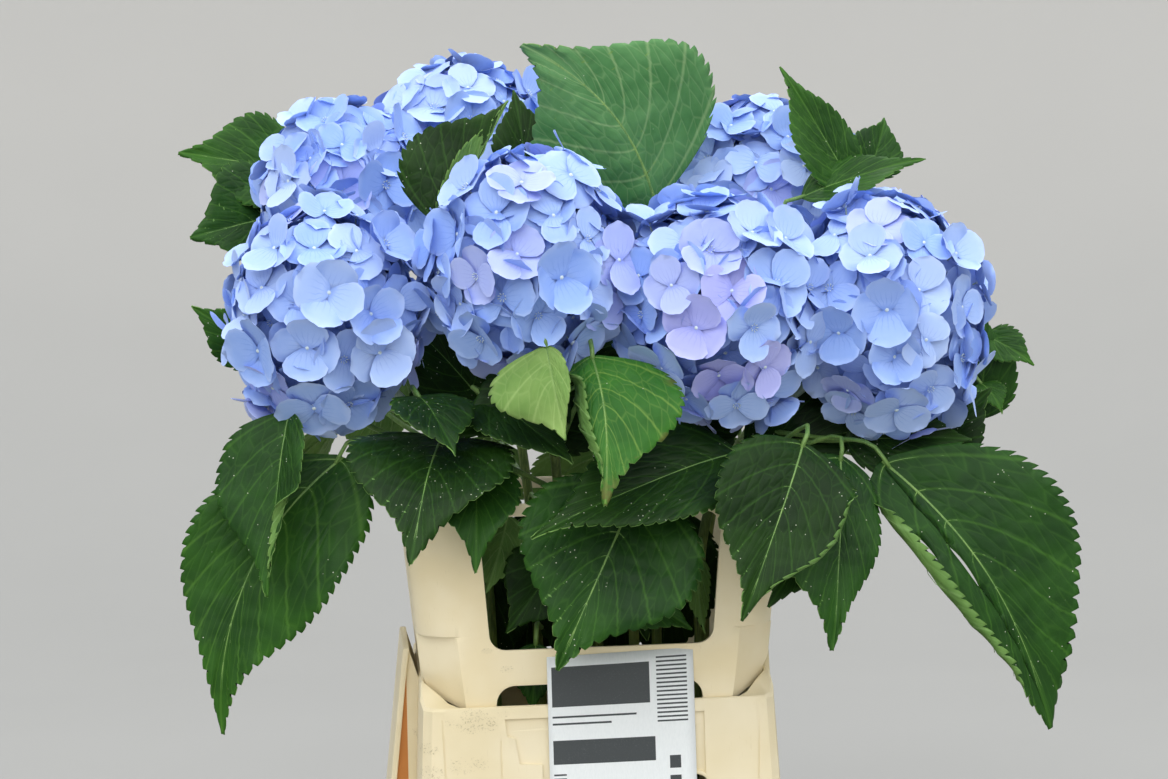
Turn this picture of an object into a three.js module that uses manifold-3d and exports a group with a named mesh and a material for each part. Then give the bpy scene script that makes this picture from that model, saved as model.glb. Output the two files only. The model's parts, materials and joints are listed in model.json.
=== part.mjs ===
// Ten cut mophead hydrangea stems standing in a plastic flower bucket with a slotted collar.
// Millimetres, +Z up. The origin is the centre of the bucket's flat underside, and its front faces -Y.
import * as THREE from "three";
import { mergeVertices } from "three/addons/utils/BufferGeometryUtils.js";
import Module from "manifold-3d";

const wasm = await Module();
wasm.setup();

// Clearance between neighbouring pieces.
const GAP = 0.3;
// How far a cutter runs past the face that it cuts, and how far a joined piece is sunk in the other.
const PAST = 1;
const SUNK = 1;

// The bucket widens a little towards its foot; half sizes are from the centre to a flat side.
const BUCKET = {
  height: 224,
  halfFoot: 138,
  halfRim: 128,
  corner: 24,
  wall: 4,
  floor: 6,
  ledgeTop: 206,
  ledgeThick: 6,
  ledgeHalf: 116,
};

// The collar stands on the bucket's ledge and widens upwards.
const COLLAR = { top: 368, halfFoot: 121.5, halfTop: 135, corner: 32, wall: 3.5 };
const WINDOW = { low: 267, high: 359, halfLow: 79, halfHigh: 84, corner: 12 };
const ARCH = { high: 240, half: 73, corner: 13 };

// The shallow recess for the card on the bucket's front, and the round hole at its edge.
const RECESS = { left: -34, stepLeft: -52, right: 80, foot: 60, step: 186, depth: 2, cutter: 40 };
const HOLE = { x: 80, z: 168, radius: 12, cutter: 30, sides: 16 };

// A guard flap leans against the collar on each side, over a slit that narrows upwards.
const FLAP = { half: 60, top: 262, slitTop: 240, slitFoot: 120, foot: 112, reachFoot: 150, reachTop: 134 };
const FLAP_WALL = 4.4;
const FLAP_RIB = { width: 5, top: 180 };

// The price card is as wide as an A6 sheet and leans on the rim.
const CARD = { width: 105, height: 148, thick: 1, left: -32, top: 264 };

// Stems lean out from the bucket's floor: each level's place is a share of the place of its head.
const STEM = { footShare: 0.3, waistShare: 0.38, mouthShare: 0.46, straight: 40, waist: 200, mouth: 368 };
const STEM_RADIUS = { foot: 4.6, head: 3.2 };
const STEM_SIDES = 6;
const STEM_STEPS = 6;
const SHOOT_STEPS = 5;
// The leafy shoot runs from this level to just under its head; the head's own stalk ends in its core.
const SHOOT_START = 345;
const SHOOT_END_SHARE = 0.98;
const STALK_SHORT = 20;

// A floret in the solids stands for a few real ones: a lobed dish whose foot is sunk in the core.
const FLORET = { count: 23, radius: 29, deep: 24, notch: 0.74, dish: 5, sides: 8 };
const FLORET_PLACE = { lowest: -0.72, near: 0.96, spread: 0.06, wobble: 0.5 };
const CORE = { share: 0.8, around: 8, rows: 5 };
// Each head looks away from a point on the bucket's axis this far below it.
const LEAN_HEIGHT = 260;
// Larger than any head, for the blocks that part neighbouring heads.
const FAR = 400;

// Each head: its centre and its half sizes.
const HEADS = {
  front_left: { centre: [-195, -75, 495], half: [80, 80, 90] },
  front_mid_left: { centre: [-45, -120, 540], half: [74, 78, 86] },
  front_mid_right: { centre: [90, -120, 505], half: [76, 78, 90] },
  front_right: { centre: [225, -97, 492], half: [80, 80, 94] },
  upper_left: { centre: [-180, 60, 605], half: [74, 76, 80] },
  upper_mid_left: { centre: [-80, 120, 645], half: [76, 76, 74] },
  upper_mid_right: { centre: [150, 30, 605], half: [75, 76, 78] },
  upper_middle: { centre: [35, 50, 600], half: [68, 68, 72] },
  back_middle: { centre: [75, 170, 580], half: [76, 76, 76] },
  back_right: { centre: [260, 75, 530], half: [74, 76, 78] },
};

// Leaves that hang or stand where the photograph shows them. share is how far up the leafy shoot
// the stalk leaves it, arch lifts the blade's middle, sweep moves it sideways, and fold turns up
// its two halves.
const LEAVES = {
  front_left: [
    {
      share: 0.55, base: [-176, -92, 396], tip: [-260, -118, 205], width: 110,
      face: [-0.2, -1, 0.2], arch: 14, sweep: 12,
    },
    {
      share: 0.45, base: [-214, -112, 394], tip: [-240, -150, 308], width: 60,
      face: [-0.6, -1, 0.3], fold: [35, 10],
    },
    {
      share: 0.2, base: [-105, -98, 412], tip: [-130, -205, 332], width: 116,
      face: [0, -0.7, 1], arch: 16,
    },
    { share: 0.45, base: [-123, -120, 442], tip: [-100, -186, 404], width: 58, face: [0.2, -0.8, 1] },
    { share: 0.8, base: [-234, 22, 470], tip: [-292, 5, 508], width: 48, face: [-0.3, -1, 0.1] },
  ],
  front_mid_left: [
    { share: 0.2, base: [-82, -112, 392], tip: [-85, -172, 322], width: 62, face: [0, -1, 0.7], arch: 14 },
    { share: 0.55, base: [-76, -102, 442], tip: [-18, -168, 396], width: 70, face: [0.3, -1, 0.6] },
    {
      share: 0.7, base: [-4, -156, 452], tip: [0, -228, 368], width: 120,
      face: [0, -1, 0.6], fold: [25, 10], arch: 12,
    },
  ],
  front_mid_right: [
    {
      share: 0.12, base: [32, -146, 380], tip: [-30, -186, 256], width: 130,
      face: [-0.1, -1, 0.2], arch: 8,
    },
    {
      share: 0.5, base: [104, -136, 402], tip: [-50, -204, 348], width: 82,
      face: [0, -0.8, 0.7], arch: 10,
    },
  ],
  front_right: [
    {
      share: 0.25, base: [146, -160, 404], tip: [92, -216, 292], width: 100,
      face: [0.1, -1, 0.3], arch: 8,
    },
    { share: 0.4, base: [184, -126, 390], tip: [166, -180, 268], width: 80, face: [0.2, -1, 0.2], arch: 6 },
    {
      share: 0.7, base: [212, -120, 382], tip: [325, -160, 205], width: 112,
      face: [0, -1, 0.2], arch: 14, sweep: -20,
    },
  ],
  upper_left: [
    { share: 0.4, base: [-215, 165, 612], tip: [-312, 125, 636], width: 82, face: [-0.3, -1, 0.6] },
    { share: 0.3, base: [-225, 140, 560], tip: [-296, 88, 562], width: 66, face: [-0.5, -1, 0.1] },
    { share: 0.2, base: [-172, 62, 425], tip: [-228, 92, 285], width: 96, face: [-1, 0.4, 0.4], arch: 14 },
  ],
  upper_mid_left: [
    {
      share: 0.5, base: [-100, -15, 568], tip: [-50, -5, 668], width: 78,
      face: [-0.3, -1, 0], fold: [0, 70],
    },
    { share: 0.65, base: [-34, 8, 600], tip: [-46, 16, 676], width: 50, face: [0, -1, 0.1] },
    {
      share: 0.3, base: [-110, 150, 470], tip: [-170, 225, 360], width: 104,
      face: [-0.4, 1, 0.6], arch: 14,
    },
    { share: 0.1, base: [-60, 158, 400], tip: [-85, 215, 255], width: 104, face: [-0.2, 1, 0.4], arch: 12 },
  ],
  upper_mid_right: [
    { share: 0.2, base: [150, 118, 400], tip: [165, 180, 262], width: 98, face: [0.5, 1, 0.4], arch: 12 },
  ],
  upper_middle: [
    {
      share: 0.55, base: [58, -44, 583], tip: [-44, -44, 700], width: 150,
      face: [-0.05, -1, 0.1], fold: [-20, 4], arch: 6, sweep: 14,
    },
  ],
  back_middle: [
    { share: 0.15, base: [40, 165, 400], tip: [20, 225, 245], width: 108, face: [0, 1, 0.4], arch: 12 },
    { share: 0.35, base: [60, 190, 455], tip: [40, 285, 400], width: 96, face: [0, 0.8, 1], arch: 10 },
    { share: 0.45, base: [135, 180, 470], tip: [205, 240, 430], width: 90, face: [0.5, 0.8, 1], arch: 10 },
  ],
  back_right: [
    { share: 0.4, base: [168, 60, 416], tip: [196, 84, 285], width: 78, face: [1, 0.3, 0.4], arch: 10 },
    { share: 0.45, base: [286, -32, 432], tip: [342, -70, 462], width: 48, face: [0, -1, 0.6] },
    { share: 0.55, base: [294, -14, 450], tip: [318, -42, 508], width: 44, face: [-0.2, -1, 0.1] },
    { share: 0.35, base: [268, -30, 414], tip: [292, -98, 386], width: 50, face: [0.3, -1, 0.8] },
    {
      share: 0.75, base: [206, -64, 592], tip: [150, -56, 688], width: 64,
      face: [-0.1, -1, 0.2], fold: [30, 8],
    },
    { share: 0.6, base: [226, -32, 600], tip: [252, -18, 654], width: 46, face: [0.2, -1, 0.1] },
    { share: 0.85, base: [164, -72, 588], tip: [254, -88, 616], width: 42, face: [0, -0.9, 1], arch: 4 },
  ],
};
const LEAF_THICK = 2.6;
const STALK_WIDTH = 4.4;
const LEAF_DEFAULTS = { fold: [8, 8], arch: 5, sweep: 0 };
// Half width of the blade at each share of its length, of its full half width.
const BLADE_ROWS = [
  [0.0, 0.1],
  [0.17, 0.8],
  [0.42, 1.0],
  [0.68, 0.68],
  [0.86, 0.22],
  [1.0, 0.03],
];

const FINISH = {
  plastic: { color: 0xe6d7b4, roughness: 0.55 },
  card: { color: 0xe4e8e8, roughness: 0.7 },
  stem: { color: 0x6d7c3f, roughness: 0.8 },
  leaf: { color: 0x2f6b2b, roughness: 0.6 },
  petal: { color: 0xa9bdf5, roughness: 0.7 },
};
const FIRST_SEED = 11;

// A seeded random number between 0 and 1.
function makeRandom(seed) {
  let state = seed;
  return () => {
    state = (state * 1664525 + 1013904223) % 4294967296;
    return state / 4294967296;
  };
}

// Moves every vertex of a geometry by a function of its place.
function reshape(geometry, move) {
  const place = geometry.getAttribute("position");
  const point = new THREE.Vector3();
  for (let i = 0; i < place.count; i++) {
    point.fromBufferAttribute(place, i);
    move(point);
    place.setXYZ(i, point.x, point.y, point.z);
  }
  return geometry;
}

// A closed three.js geometry as a solid that can be joined and cut.
function solid(geometry) {
  const bare = geometry.clone();
  bare.deleteAttribute("normal");
  bare.deleteAttribute("uv");
  const merged = mergeVertices(bare, 1e-4);
  const vertProperties = new Float32Array(merged.attributes.position.array);
  const triVerts = new Uint32Array(merged.index.array);
  return new wasm.Manifold(new wasm.Mesh({ numProp: 3, vertProperties, triVerts }));
}

function join(solids) {
  return solids.reduce((whole, piece) => whole.add(piece));
}

// The largest body of a solid, which drops loose scraps that a cut leaves.
function largest(piece) {
  const bodies = piece.decompose();
  return bodies.reduce((best, body) => (body.volume() > best.volume() ? body : best));
}

function node(name, piece, finish) {
  const mesh = piece.getMesh();
  const geometry = new THREE.BufferGeometry();
  geometry.setAttribute("position", new THREE.BufferAttribute(mesh.vertProperties, 3));
  geometry.setIndex(new THREE.BufferAttribute(mesh.triVerts, 1));
  geometry.computeVertexNormals();
  const made = new THREE.Mesh(geometry, new THREE.MeshStandardMaterial({ ...finish, metalness: 0 }));
  made.name = name;
  return made;
}

function roundedSquare(half, corner) {
  const shape = new THREE.Shape();
  const inner = half - corner;
  shape.absarc(inner, inner, corner, 0, Math.PI / 2);
  shape.absarc(-inner, inner, corner, Math.PI / 2, Math.PI);
  shape.absarc(-inner, -inner, corner, Math.PI, 1.5 * Math.PI);
  shape.absarc(inner, -inner, corner, 1.5 * Math.PI, 2 * Math.PI);
  return shape;
}

// A rounded square block whose half size goes evenly from one level to the other.
function taperedBlock(halfLow, halfHigh, low, high, corner) {
  const settings = { depth: high - low, bevelEnabled: false, curveSegments: 3 };
  const block = new THREE.ExtrudeGeometry(roundedSquare(halfLow, corner), settings);
  return solid(
    reshape(block, (p) => {
      const scale = THREE.MathUtils.lerp(1, halfHigh / halfLow, p.z / (high - low));
      p.set(p.x * scale, p.y * scale, p.z + low);
    }),
  );
}

// An outline drawn in x and z, pushed through from one y to another.
function pushThrough(shape, fromY, toY) {
  const settings = { depth: toY - fromY, bevelEnabled: false, curveSegments: 4 };
  const geometry = new THREE.ExtrudeGeometry(shape, settings);
  geometry.rotateX(Math.PI / 2);
  geometry.translate(0, toY, 0);
  return solid(geometry);
}

function bucketHalf(z) {
  return THREE.MathUtils.mapLinear(z, 0, BUCKET.height, BUCKET.halfFoot, BUCKET.halfRim);
}

function collarHalf(z) {
  return THREE.MathUtils.mapLinear(z, BUCKET.ledgeTop, COLLAR.top, COLLAR.halfFoot, COLLAR.halfTop);
}

// How far the flap's outer face stands out at a level.
function flapReach(z) {
  return THREE.MathUtils.mapLinear(z, FLAP.foot, FLAP.top, FLAP.reachFoot, FLAP.reachTop);
}

// The flap's section: it rises from a foot on the wall, clear of the wall above it, to the collar.
function flapShape() {
  const shape = new THREE.Shape();
  const sunk = bucketHalf(FLAP.foot) - BUCKET.wall / 2;
  shape.moveTo(sunk, FLAP.foot);
  shape.lineTo(flapReach(FLAP.foot), FLAP.foot);
  shape.lineTo(flapReach(FLAP.top), FLAP.top);
  shape.lineTo(collarHalf(FLAP.top) + 2 * GAP, FLAP.top);
  shape.lineTo(collarHalf(FLAP.slitTop) + 2 * GAP, FLAP.slitTop);
  shape.lineTo(FLAP.reachFoot - FLAP_WALL, FLAP.slitFoot);
  shape.lineTo(sunk, FLAP.slitFoot);
  return shape;
}

// The rib that ties the flap's middle to the wall.
function ribShape() {
  const shape = new THREE.Shape();
  shape.moveTo(bucketHalf(FLAP.foot) - BUCKET.wall / 2, FLAP.foot);
  shape.lineTo(flapReach(FLAP.foot) - SUNK, FLAP.foot);
  shape.lineTo(flapReach(FLAP_RIB.top) - SUNK, FLAP_RIB.top);
  shape.lineTo(bucketHalf(FLAP_RIB.top) - BUCKET.wall / 2, FLAP_RIB.top);
  return shape;
}

function flap() {
  const plate = pushThrough(flapShape(), -FLAP.half, FLAP.half);
  return plate.add(pushThrough(ribShape(), -FLAP_RIB.width / 2, FLAP_RIB.width / 2));
}

// A ring inside the wall that carries the collar.
function ledge() {
  const foot = BUCKET.ledgeTop - BUCKET.ledgeThick;
  const { ledgeTop, ledgeHalf, corner, wall } = BUCKET;
  const halves = [bucketHalf(foot) - SUNK, bucketHalf(ledgeTop) - SUNK];
  const outer = taperedBlock(...halves, foot, ledgeTop, corner - SUNK);
  return outer.subtract(taperedBlock(ledgeHalf, ledgeHalf, foot - PAST, ledgeTop + PAST, corner - wall));
}

// The stepped recess, cut to an even depth as the wall leans.
function recessCutter() {
  const top = BUCKET.height + PAST;
  const shape = new THREE.Shape();
  shape.moveTo(RECESS.left, RECESS.foot);
  shape.lineTo(RECESS.right, RECESS.foot);
  shape.lineTo(RECESS.right, top);
  shape.lineTo(RECESS.stepLeft, top);
  shape.lineTo(RECESS.stepLeft, RECESS.step);
  shape.lineTo(RECESS.left, RECESS.step);
  const geometry = new THREE.ExtrudeGeometry(shape, { depth: RECESS.cutter, bevelEnabled: false });
  geometry.rotateX(Math.PI / 2);
  return solid(reshape(geometry, (p) => p.set(p.x, p.y + RECESS.depth - bucketHalf(p.z), p.z)));
}

function holeCutter() {
  const geometry = new THREE.CylinderGeometry(HOLE.radius, HOLE.radius, HOLE.cutter, HOLE.sides);
  geometry.translate(HOLE.x, -bucketHalf(HOLE.z), HOLE.z);
  return solid(geometry);
}

function bucket() {
  const { height, halfFoot, halfRim, corner, wall, floor } = BUCKET;
  const outer = taperedBlock(halfFoot, halfRim, 0, height, corner);
  const above = height + PAST;
  const halves = [bucketHalf(floor) - wall, bucketHalf(above) - wall];
  const cavity = taperedBlock(...halves, floor, above, corner - wall);
  const shell = outer.subtract(cavity).add(ledge());
  const flaps = flap().add(flap().mirror([1, 0, 0]));
  return shell.add(flaps).subtract(recessCutter()).subtract(holeCutter());
}

function windowShape() {
  const { low, high, halfLow, halfHigh, corner } = WINDOW;
  const shape = new THREE.Shape();
  shape.absarc(halfLow - corner, low + corner, corner, 1.5 * Math.PI, 2 * Math.PI);
  shape.absarc(halfHigh - corner, high - corner, corner, 0, Math.PI / 2);
  shape.absarc(-halfHigh + corner, high - corner, corner, Math.PI / 2, Math.PI);
  shape.absarc(-halfLow + corner, low + corner, corner, Math.PI, 1.5 * Math.PI);
  return shape;
}

function archShape(foot) {
  const shape = new THREE.Shape();
  shape.moveTo(-ARCH.half, foot);
  shape.lineTo(ARCH.half, foot);
  shape.absarc(ARCH.half - ARCH.corner, ARCH.high - ARCH.corner, ARCH.corner, 0, Math.PI / 2);
  shape.absarc(-ARCH.half + ARCH.corner, ARCH.high - ARCH.corner, ARCH.corner, Math.PI / 2, Math.PI);
  return shape;
}

function collar() {
  const foot = BUCKET.ledgeTop + GAP;
  const { top, corner, wall } = COLLAR;
  const outer = taperedBlock(collarHalf(foot), collarHalf(top), foot, top, corner);
  const below = foot - PAST;
  const above = top + PAST;
  const halves = [collarHalf(below) - wall, collarHalf(above) - wall];
  const inner = taperedBlock(...halves, below, above, corner - wall);
  const reach = 2 * COLLAR.halfTop;
  const windows = pushThrough(windowShape(), -reach, reach);
  const arches = pushThrough(archShape(foot - PAST), -reach, reach);
  return outer.subtract(inner).subtract(windows).subtract(arches);
}

// The card leans back from its foot, clear of the bucket's wall and of the rim.
function card() {
  const shape = new THREE.Shape();
  const footHalf = bucketHalf(CARD.top - CARD.height) + GAP;
  const rimHalf = BUCKET.halfRim + GAP;
  const lean = (footHalf - rimHalf) / (BUCKET.height - CARD.top + CARD.height);
  const topHalf = footHalf - lean * CARD.height;
  shape.moveTo(-footHalf, CARD.top - CARD.height);
  shape.lineTo(-topHalf, CARD.top);
  shape.lineTo(-topHalf - CARD.thick, CARD.top);
  shape.lineTo(-footHalf - CARD.thick, CARD.top - CARD.height);
  const geometry = new THREE.ExtrudeGeometry(shape, { depth: CARD.width, bevelEnabled: false });
  reshape(geometry, (p) => p.set(p.z + CARD.left, p.x, p.y));
  return solid(geometry);
}

// The way from the bucket's floor to the middle of a head.
function stemCurve(head) {
  const [x, y, z] = head.centre;
  return new THREE.CatmullRomCurve3([
    new THREE.Vector3(x * STEM.footShare, y * STEM.footShare, BUCKET.floor + GAP),
    new THREE.Vector3(x * STEM.footShare, y * STEM.footShare, STEM.straight),
    new THREE.Vector3(x * STEM.waistShare, y * STEM.waistShare, STEM.waist),
    new THREE.Vector3(x * STEM.mouthShare, y * STEM.mouthShare, STEM.mouth),
    new THREE.Vector3(x, y, z),
  ]);
}

// The share of a rising curve's length at which it passes a level.
function shareAtLevel(curve, z) {
  const halvings = 40;
  let low = 0;
  let high = 1;
  for (let i = 0; i < halvings; i++) {
    const middle = (low + high) / 2;
    if (curve.getPointAt(middle).z < z) low = middle;
    else high = middle;
  }
  return low;
}

// A tapered cylinder bent along a stretch of a curve; its radius falls evenly along the whole stem.
function limb(curve, from, to, steps) {
  const radius = (share) => THREE.MathUtils.lerp(STEM_RADIUS.foot, STEM_RADIUS.head, share);
  const geometry = new THREE.CylinderGeometry(1, 1, 1, STEM_SIDES, steps);
  return solid(
    reshape(geometry, (p) => {
      const share = THREE.MathUtils.lerp(from, to, p.y + 0.5);
      const middle = curve.getPointAt(share);
      const along = curve.getTangentAt(share);
      const side = new THREE.Vector3(1, 0, 0).addScaledVector(along, -along.x).normalize();
      const back = new THREE.Vector3().crossVectors(along, side);
      const size = radius(share);
      p.copy(middle.addScaledVector(side, -p.x * size).addScaledVector(back, p.z * size));
    }),
  );
}

// The unit vector nearest to one direction that is square to another.
function squareTo(direction, axis) {
  return direction.clone().addScaledVector(axis, -direction.dot(axis)).normalize();
}

// A leaf: a narrow stalk from its root in the shoot to the blade's base, then a blade in its own outline.
function leaf(root, spec) {
  const { fold, arch, sweep, width, face: seen } = { ...LEAF_DEFAULTS, ...spec };
  const base = new THREE.Vector3(...spec.base);
  const tip = new THREE.Vector3(...spec.tip);
  const along = tip.clone().sub(base).normalize();
  const stalk = base.clone().sub(root).normalize();
  const headings = [stalk, stalk.clone().add(along).normalize()];
  const up = squareTo(new THREE.Vector3(...seen), along);
  const last = BLADE_ROWS.length;
  const geometry = new THREE.BoxGeometry(2, last, 1, 2, last, 1);
  return solid(
    reshape(geometry, (p) => {
      const row = Math.round(p.y + last / 2);
      const onStalk = row < headings.length;
      const [share, wide] = row === 0 ? [0, 0] : BLADE_ROWS[row - 1];
      const heading = onStalk ? headings[row] : along;
      const face = squareTo(up, heading);
      const across = new THREE.Vector3().crossVectors(heading, face);
      const half = Math.max((wide * width) / 2, STALK_WIDTH / 2);
      const turn = onStalk ? 0 : THREE.MathUtils.degToRad(p.x < 0 ? fold[0] : fold[1]);
      const thick = onStalk ? STALK_WIDTH : LEAF_THICK;
      const place = row === 0 ? root.clone() : base.clone().lerp(tip, share);
      const bow = 4 * share * (1 - share);
      place.addScaledVector(across, bow * sweep + p.x * half * Math.cos(turn));
      place.addScaledVector(face, bow * arch + Math.abs(p.x) * half * Math.sin(turn) + p.z * thick);
      p.copy(place);
    }),
  );
}

// Where the leafy shoot ends, under the head.
function shootEnd(curve, head) {
  return 1 - (SHOOT_END_SHARE * head.half[2]) / curve.getLength();
}

// The upper, leafy part of a stem with its leaves fused on.
function shoot(name, head) {
  const curve = stemCurve(head);
  const from = shareAtLevel(curve, SHOOT_START) + GAP / curve.getLength();
  const to = shootEnd(curve, head);
  const leaves = LEAVES[name].map((spec) => {
    const root = curve.getPointAt(THREE.MathUtils.lerp(from, to, spec.share));
    return leaf(root, spec);
  });
  return join([limb(curve, from, to, SHOOT_STEPS), ...leaves]);
}

// A four-lobed shallow dish, its foot drawn out to a point that sinks into the head's core.
function floret(head, direction, random) {
  const geometry = new THREE.ConeGeometry(FLORET.radius, FLORET.deep, FLORET.sides, 1);
  reshape(geometry, (p) => {
    const angle = Math.atan2(p.z, p.x);
    const lobe = Math.abs(Math.sin(2 * angle)) > 0.5 ? 1 : FLORET.notch;
    const rim = Math.hypot(p.x, p.z) > 1;
    if (rim) p.set(p.x * lobe, p.y, p.z * lobe);
    else if (p.y < 0) p.y += FLORET.dish;
  });
  geometry.rotateX(Math.PI / 2);
  geometry.translate(0, 0, FLORET.deep / 2);
  geometry.rotateZ(random() * Math.PI);
  const half = new THREE.Vector3(...head.half);
  const outward = direction.clone().divide(half).normalize();
  const wobble = new THREE.Vector3(random() - 0.5, random() - 0.5, random() - 0.5);
  const facing = outward.addScaledVector(wobble, FLORET_PLACE.wobble).normalize();
  const turn = new THREE.Quaternion().setFromUnitVectors(new THREE.Vector3(0, 0, -1), facing);
  geometry.applyQuaternion(turn);
  const reach = FLORET_PLACE.near + FLORET_PLACE.spread * random();
  const place = direction.clone().multiply(half).multiplyScalar(reach);
  place.add(new THREE.Vector3(...head.centre));
  geometry.translate(place.x, place.y, place.z);
  return solid(geometry);
}

// Directions spread evenly over the head, from its crown down to its open underside.
function floretDirections(head) {
  const lean = new THREE.Vector3(head.centre[0], head.centre[1], LEAN_HEIGHT).normalize();
  const turn = new THREE.Quaternion().setFromUnitVectors(new THREE.Vector3(0, 0, 1), lean);
  const goldenAngle = Math.PI * (3 - Math.sqrt(5));
  return Array.from({ length: FLORET.count }, (_, i) => {
    const height = THREE.MathUtils.lerp(1, FLORET_PLACE.lowest, (i + 0.5) / FLORET.count);
    const ring = Math.sqrt(1 - height * height);
    const angle = i * goldenAngle;
    return new THREE.Vector3(ring * Math.cos(angle), ring * Math.sin(angle), height).applyQuaternion(turn);
  });
}

// How far a head's florets reach from its centre along a direction.
function reachAlong(head, direction) {
  const [a, b, c] = head.half;
  return 1 / Math.hypot(direction.x / a, direction.y / b, direction.z / c);
}

// A block that fills all beyond the plane midway between a head and its neighbour.
function beyond(head, neighbour) {
  const from = new THREE.Vector3(...head.centre);
  const direction = new THREE.Vector3(...neighbour.centre).sub(from);
  const distance = direction.length();
  direction.normalize();
  const own = reachAlong(head, direction);
  const other = reachAlong(neighbour, direction);
  const geometry = new THREE.BoxGeometry(FAR, FAR, FAR);
  geometry.translate(0, 0, FAR / 2 + (distance * own) / (own + other) - GAP / 2);
  const turn = new THREE.Quaternion().setFromUnitVectors(new THREE.Vector3(0, 0, 1), direction);
  geometry.applyQuaternion(turn);
  geometry.translate(from.x, from.y, from.z);
  return { block: solid(geometry), close: distance < own + other + FLORET.deep };
}

function bloom(name, head, seed) {
  const random = makeRandom(seed);
  const core = new THREE.SphereGeometry(1, CORE.around, CORE.rows);
  core.scale(...head.half.map((value) => value * CORE.share));
  core.translate(...head.centre);
  const curve = stemCurve(head);
  const length = curve.getLength();
  const stalk = limb(curve, shootEnd(curve, head) + GAP / length, 1 - STALK_SHORT / length, 1);
  const florets = floretDirections(head).map((direction) => floret(head, direction, random));
  let whole = join([solid(core), stalk, ...florets]);
  for (const [other, neighbour] of Object.entries(HEADS)) {
    if (other === name) continue;
    const { block, close } = beyond(head, neighbour);
    if (close) whole = whole.subtract(block);
  }
  return largest(whole);
}

const plant = new THREE.Group();
plant.add(node("bucket", bucket(), FINISH.plastic));
plant.add(node("collar", collar(), FINISH.plastic));
plant.add(node("label_card", card(), FINISH.card));
Object.entries(HEADS).forEach(([name, head], index) => {
  const curve = stemCurve(head);
  const stem = limb(curve, 0, shareAtLevel(curve, SHOOT_START), STEM_STEPS);
  plant.add(node("stem_" + name, stem, FINISH.stem));
  plant.add(node("foliage_" + name, shoot(name, head), FINISH.leaf));
  plant.add(node("bloom_" + name, bloom(name, head, FIRST_SEED + index), FINISH.petal));
});

export default plant;
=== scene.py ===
# Cut mophead hydrangea stems in a plastic flower bucket: the looks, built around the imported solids.
import json
import math
from functools import partial

import bmesh
import bpy
import numpy as np
from mathutils import Matrix, Vector

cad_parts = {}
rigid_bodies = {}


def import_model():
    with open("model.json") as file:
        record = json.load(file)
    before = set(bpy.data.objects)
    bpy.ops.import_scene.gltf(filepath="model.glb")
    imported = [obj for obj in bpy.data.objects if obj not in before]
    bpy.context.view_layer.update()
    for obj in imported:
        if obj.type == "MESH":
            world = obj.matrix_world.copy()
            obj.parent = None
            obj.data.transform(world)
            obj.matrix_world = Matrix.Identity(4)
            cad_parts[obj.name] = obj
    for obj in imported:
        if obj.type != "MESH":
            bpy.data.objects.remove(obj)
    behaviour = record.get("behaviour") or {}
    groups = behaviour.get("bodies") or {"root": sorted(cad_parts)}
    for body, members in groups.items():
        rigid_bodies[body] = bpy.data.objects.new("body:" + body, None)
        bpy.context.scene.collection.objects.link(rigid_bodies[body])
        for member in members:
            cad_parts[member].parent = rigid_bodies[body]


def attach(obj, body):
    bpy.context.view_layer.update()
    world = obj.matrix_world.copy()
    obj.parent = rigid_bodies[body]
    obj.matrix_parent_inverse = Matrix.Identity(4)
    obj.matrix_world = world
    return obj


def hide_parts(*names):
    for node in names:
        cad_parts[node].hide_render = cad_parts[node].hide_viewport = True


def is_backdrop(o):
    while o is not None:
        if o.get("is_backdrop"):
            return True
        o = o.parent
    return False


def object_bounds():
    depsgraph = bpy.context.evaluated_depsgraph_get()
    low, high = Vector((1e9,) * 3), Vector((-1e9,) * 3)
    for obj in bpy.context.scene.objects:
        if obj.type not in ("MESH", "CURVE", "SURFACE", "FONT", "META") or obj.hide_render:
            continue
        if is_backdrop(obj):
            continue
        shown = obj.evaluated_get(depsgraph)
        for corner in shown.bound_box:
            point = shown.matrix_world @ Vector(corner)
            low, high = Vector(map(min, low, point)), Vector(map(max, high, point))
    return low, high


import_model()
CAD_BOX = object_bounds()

# Sizes are in millimetres and are turned to metres as each mesh is made.
MM = 0.001
SEED = 20

# The photograph: its size, and the camera that was worked out for it. The angles are in degrees.
IMAGE = (1168, 779)
CAMERA = {"focal_px": 2113, "distance": 1630, "height": 487, "azimuth": -6, "horizon_px": 333, "axis_px": 574}
CAMERA_ROLL = 1.4
SENSOR = 36.0
# The soft lights: place and width in metres, and power in watts. All point at one place.
LIGHTS = {
    "key": ((-1.5, -2.4, 3.4), 3.8, 96),
    "fill": ((2.2, -2.0, 3.2), 3.8, 70),
    "top": ((0.2, 1.2, 4.2), 4.0, 72),
    "front": ((-0.4, -3.6, 0.8), 3.0, 78),
}
LIGHT_AIM = (0, 0, 0.4)
SKY_COLOUR = "E6E8EA"
SKY_STRENGTH = 1.22

# The bucket, as in the solids; its corners are made of a few flat facets.
BUCKET = {"height": 224, "half_foot": 138, "half_rim": 128, "corner": 18, "facets": 3, "wall": 4, "floor": 6}
# The foot's edge: levels, and how far the wall stands out there. The rim's edge: how far in from the
# wall's faces, and how far below the rim.
FOOT_EDGE = [(0, -2.5), (0.0, -0.8), (3, 0)]
RIM_EDGE = [(0.5, 0.7), (1.5, 0)]
# How far the sharp edges are rounded.
ROUNDING = {"bucket": 0.9, "collar": 1.1, "flap": 1.0}
# The side walls' rim is higher: it rises in a slant between these reaches in y, and the rise fades out
# down to the last level.
EAR = {"start": 101, "end": 119, "rise": 15, "fade": 170}
# Inside the rim each corner is filled up to a flat of this leg, from this level up.
GUSSET = {"leg": 25, "foot": 198}
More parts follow.
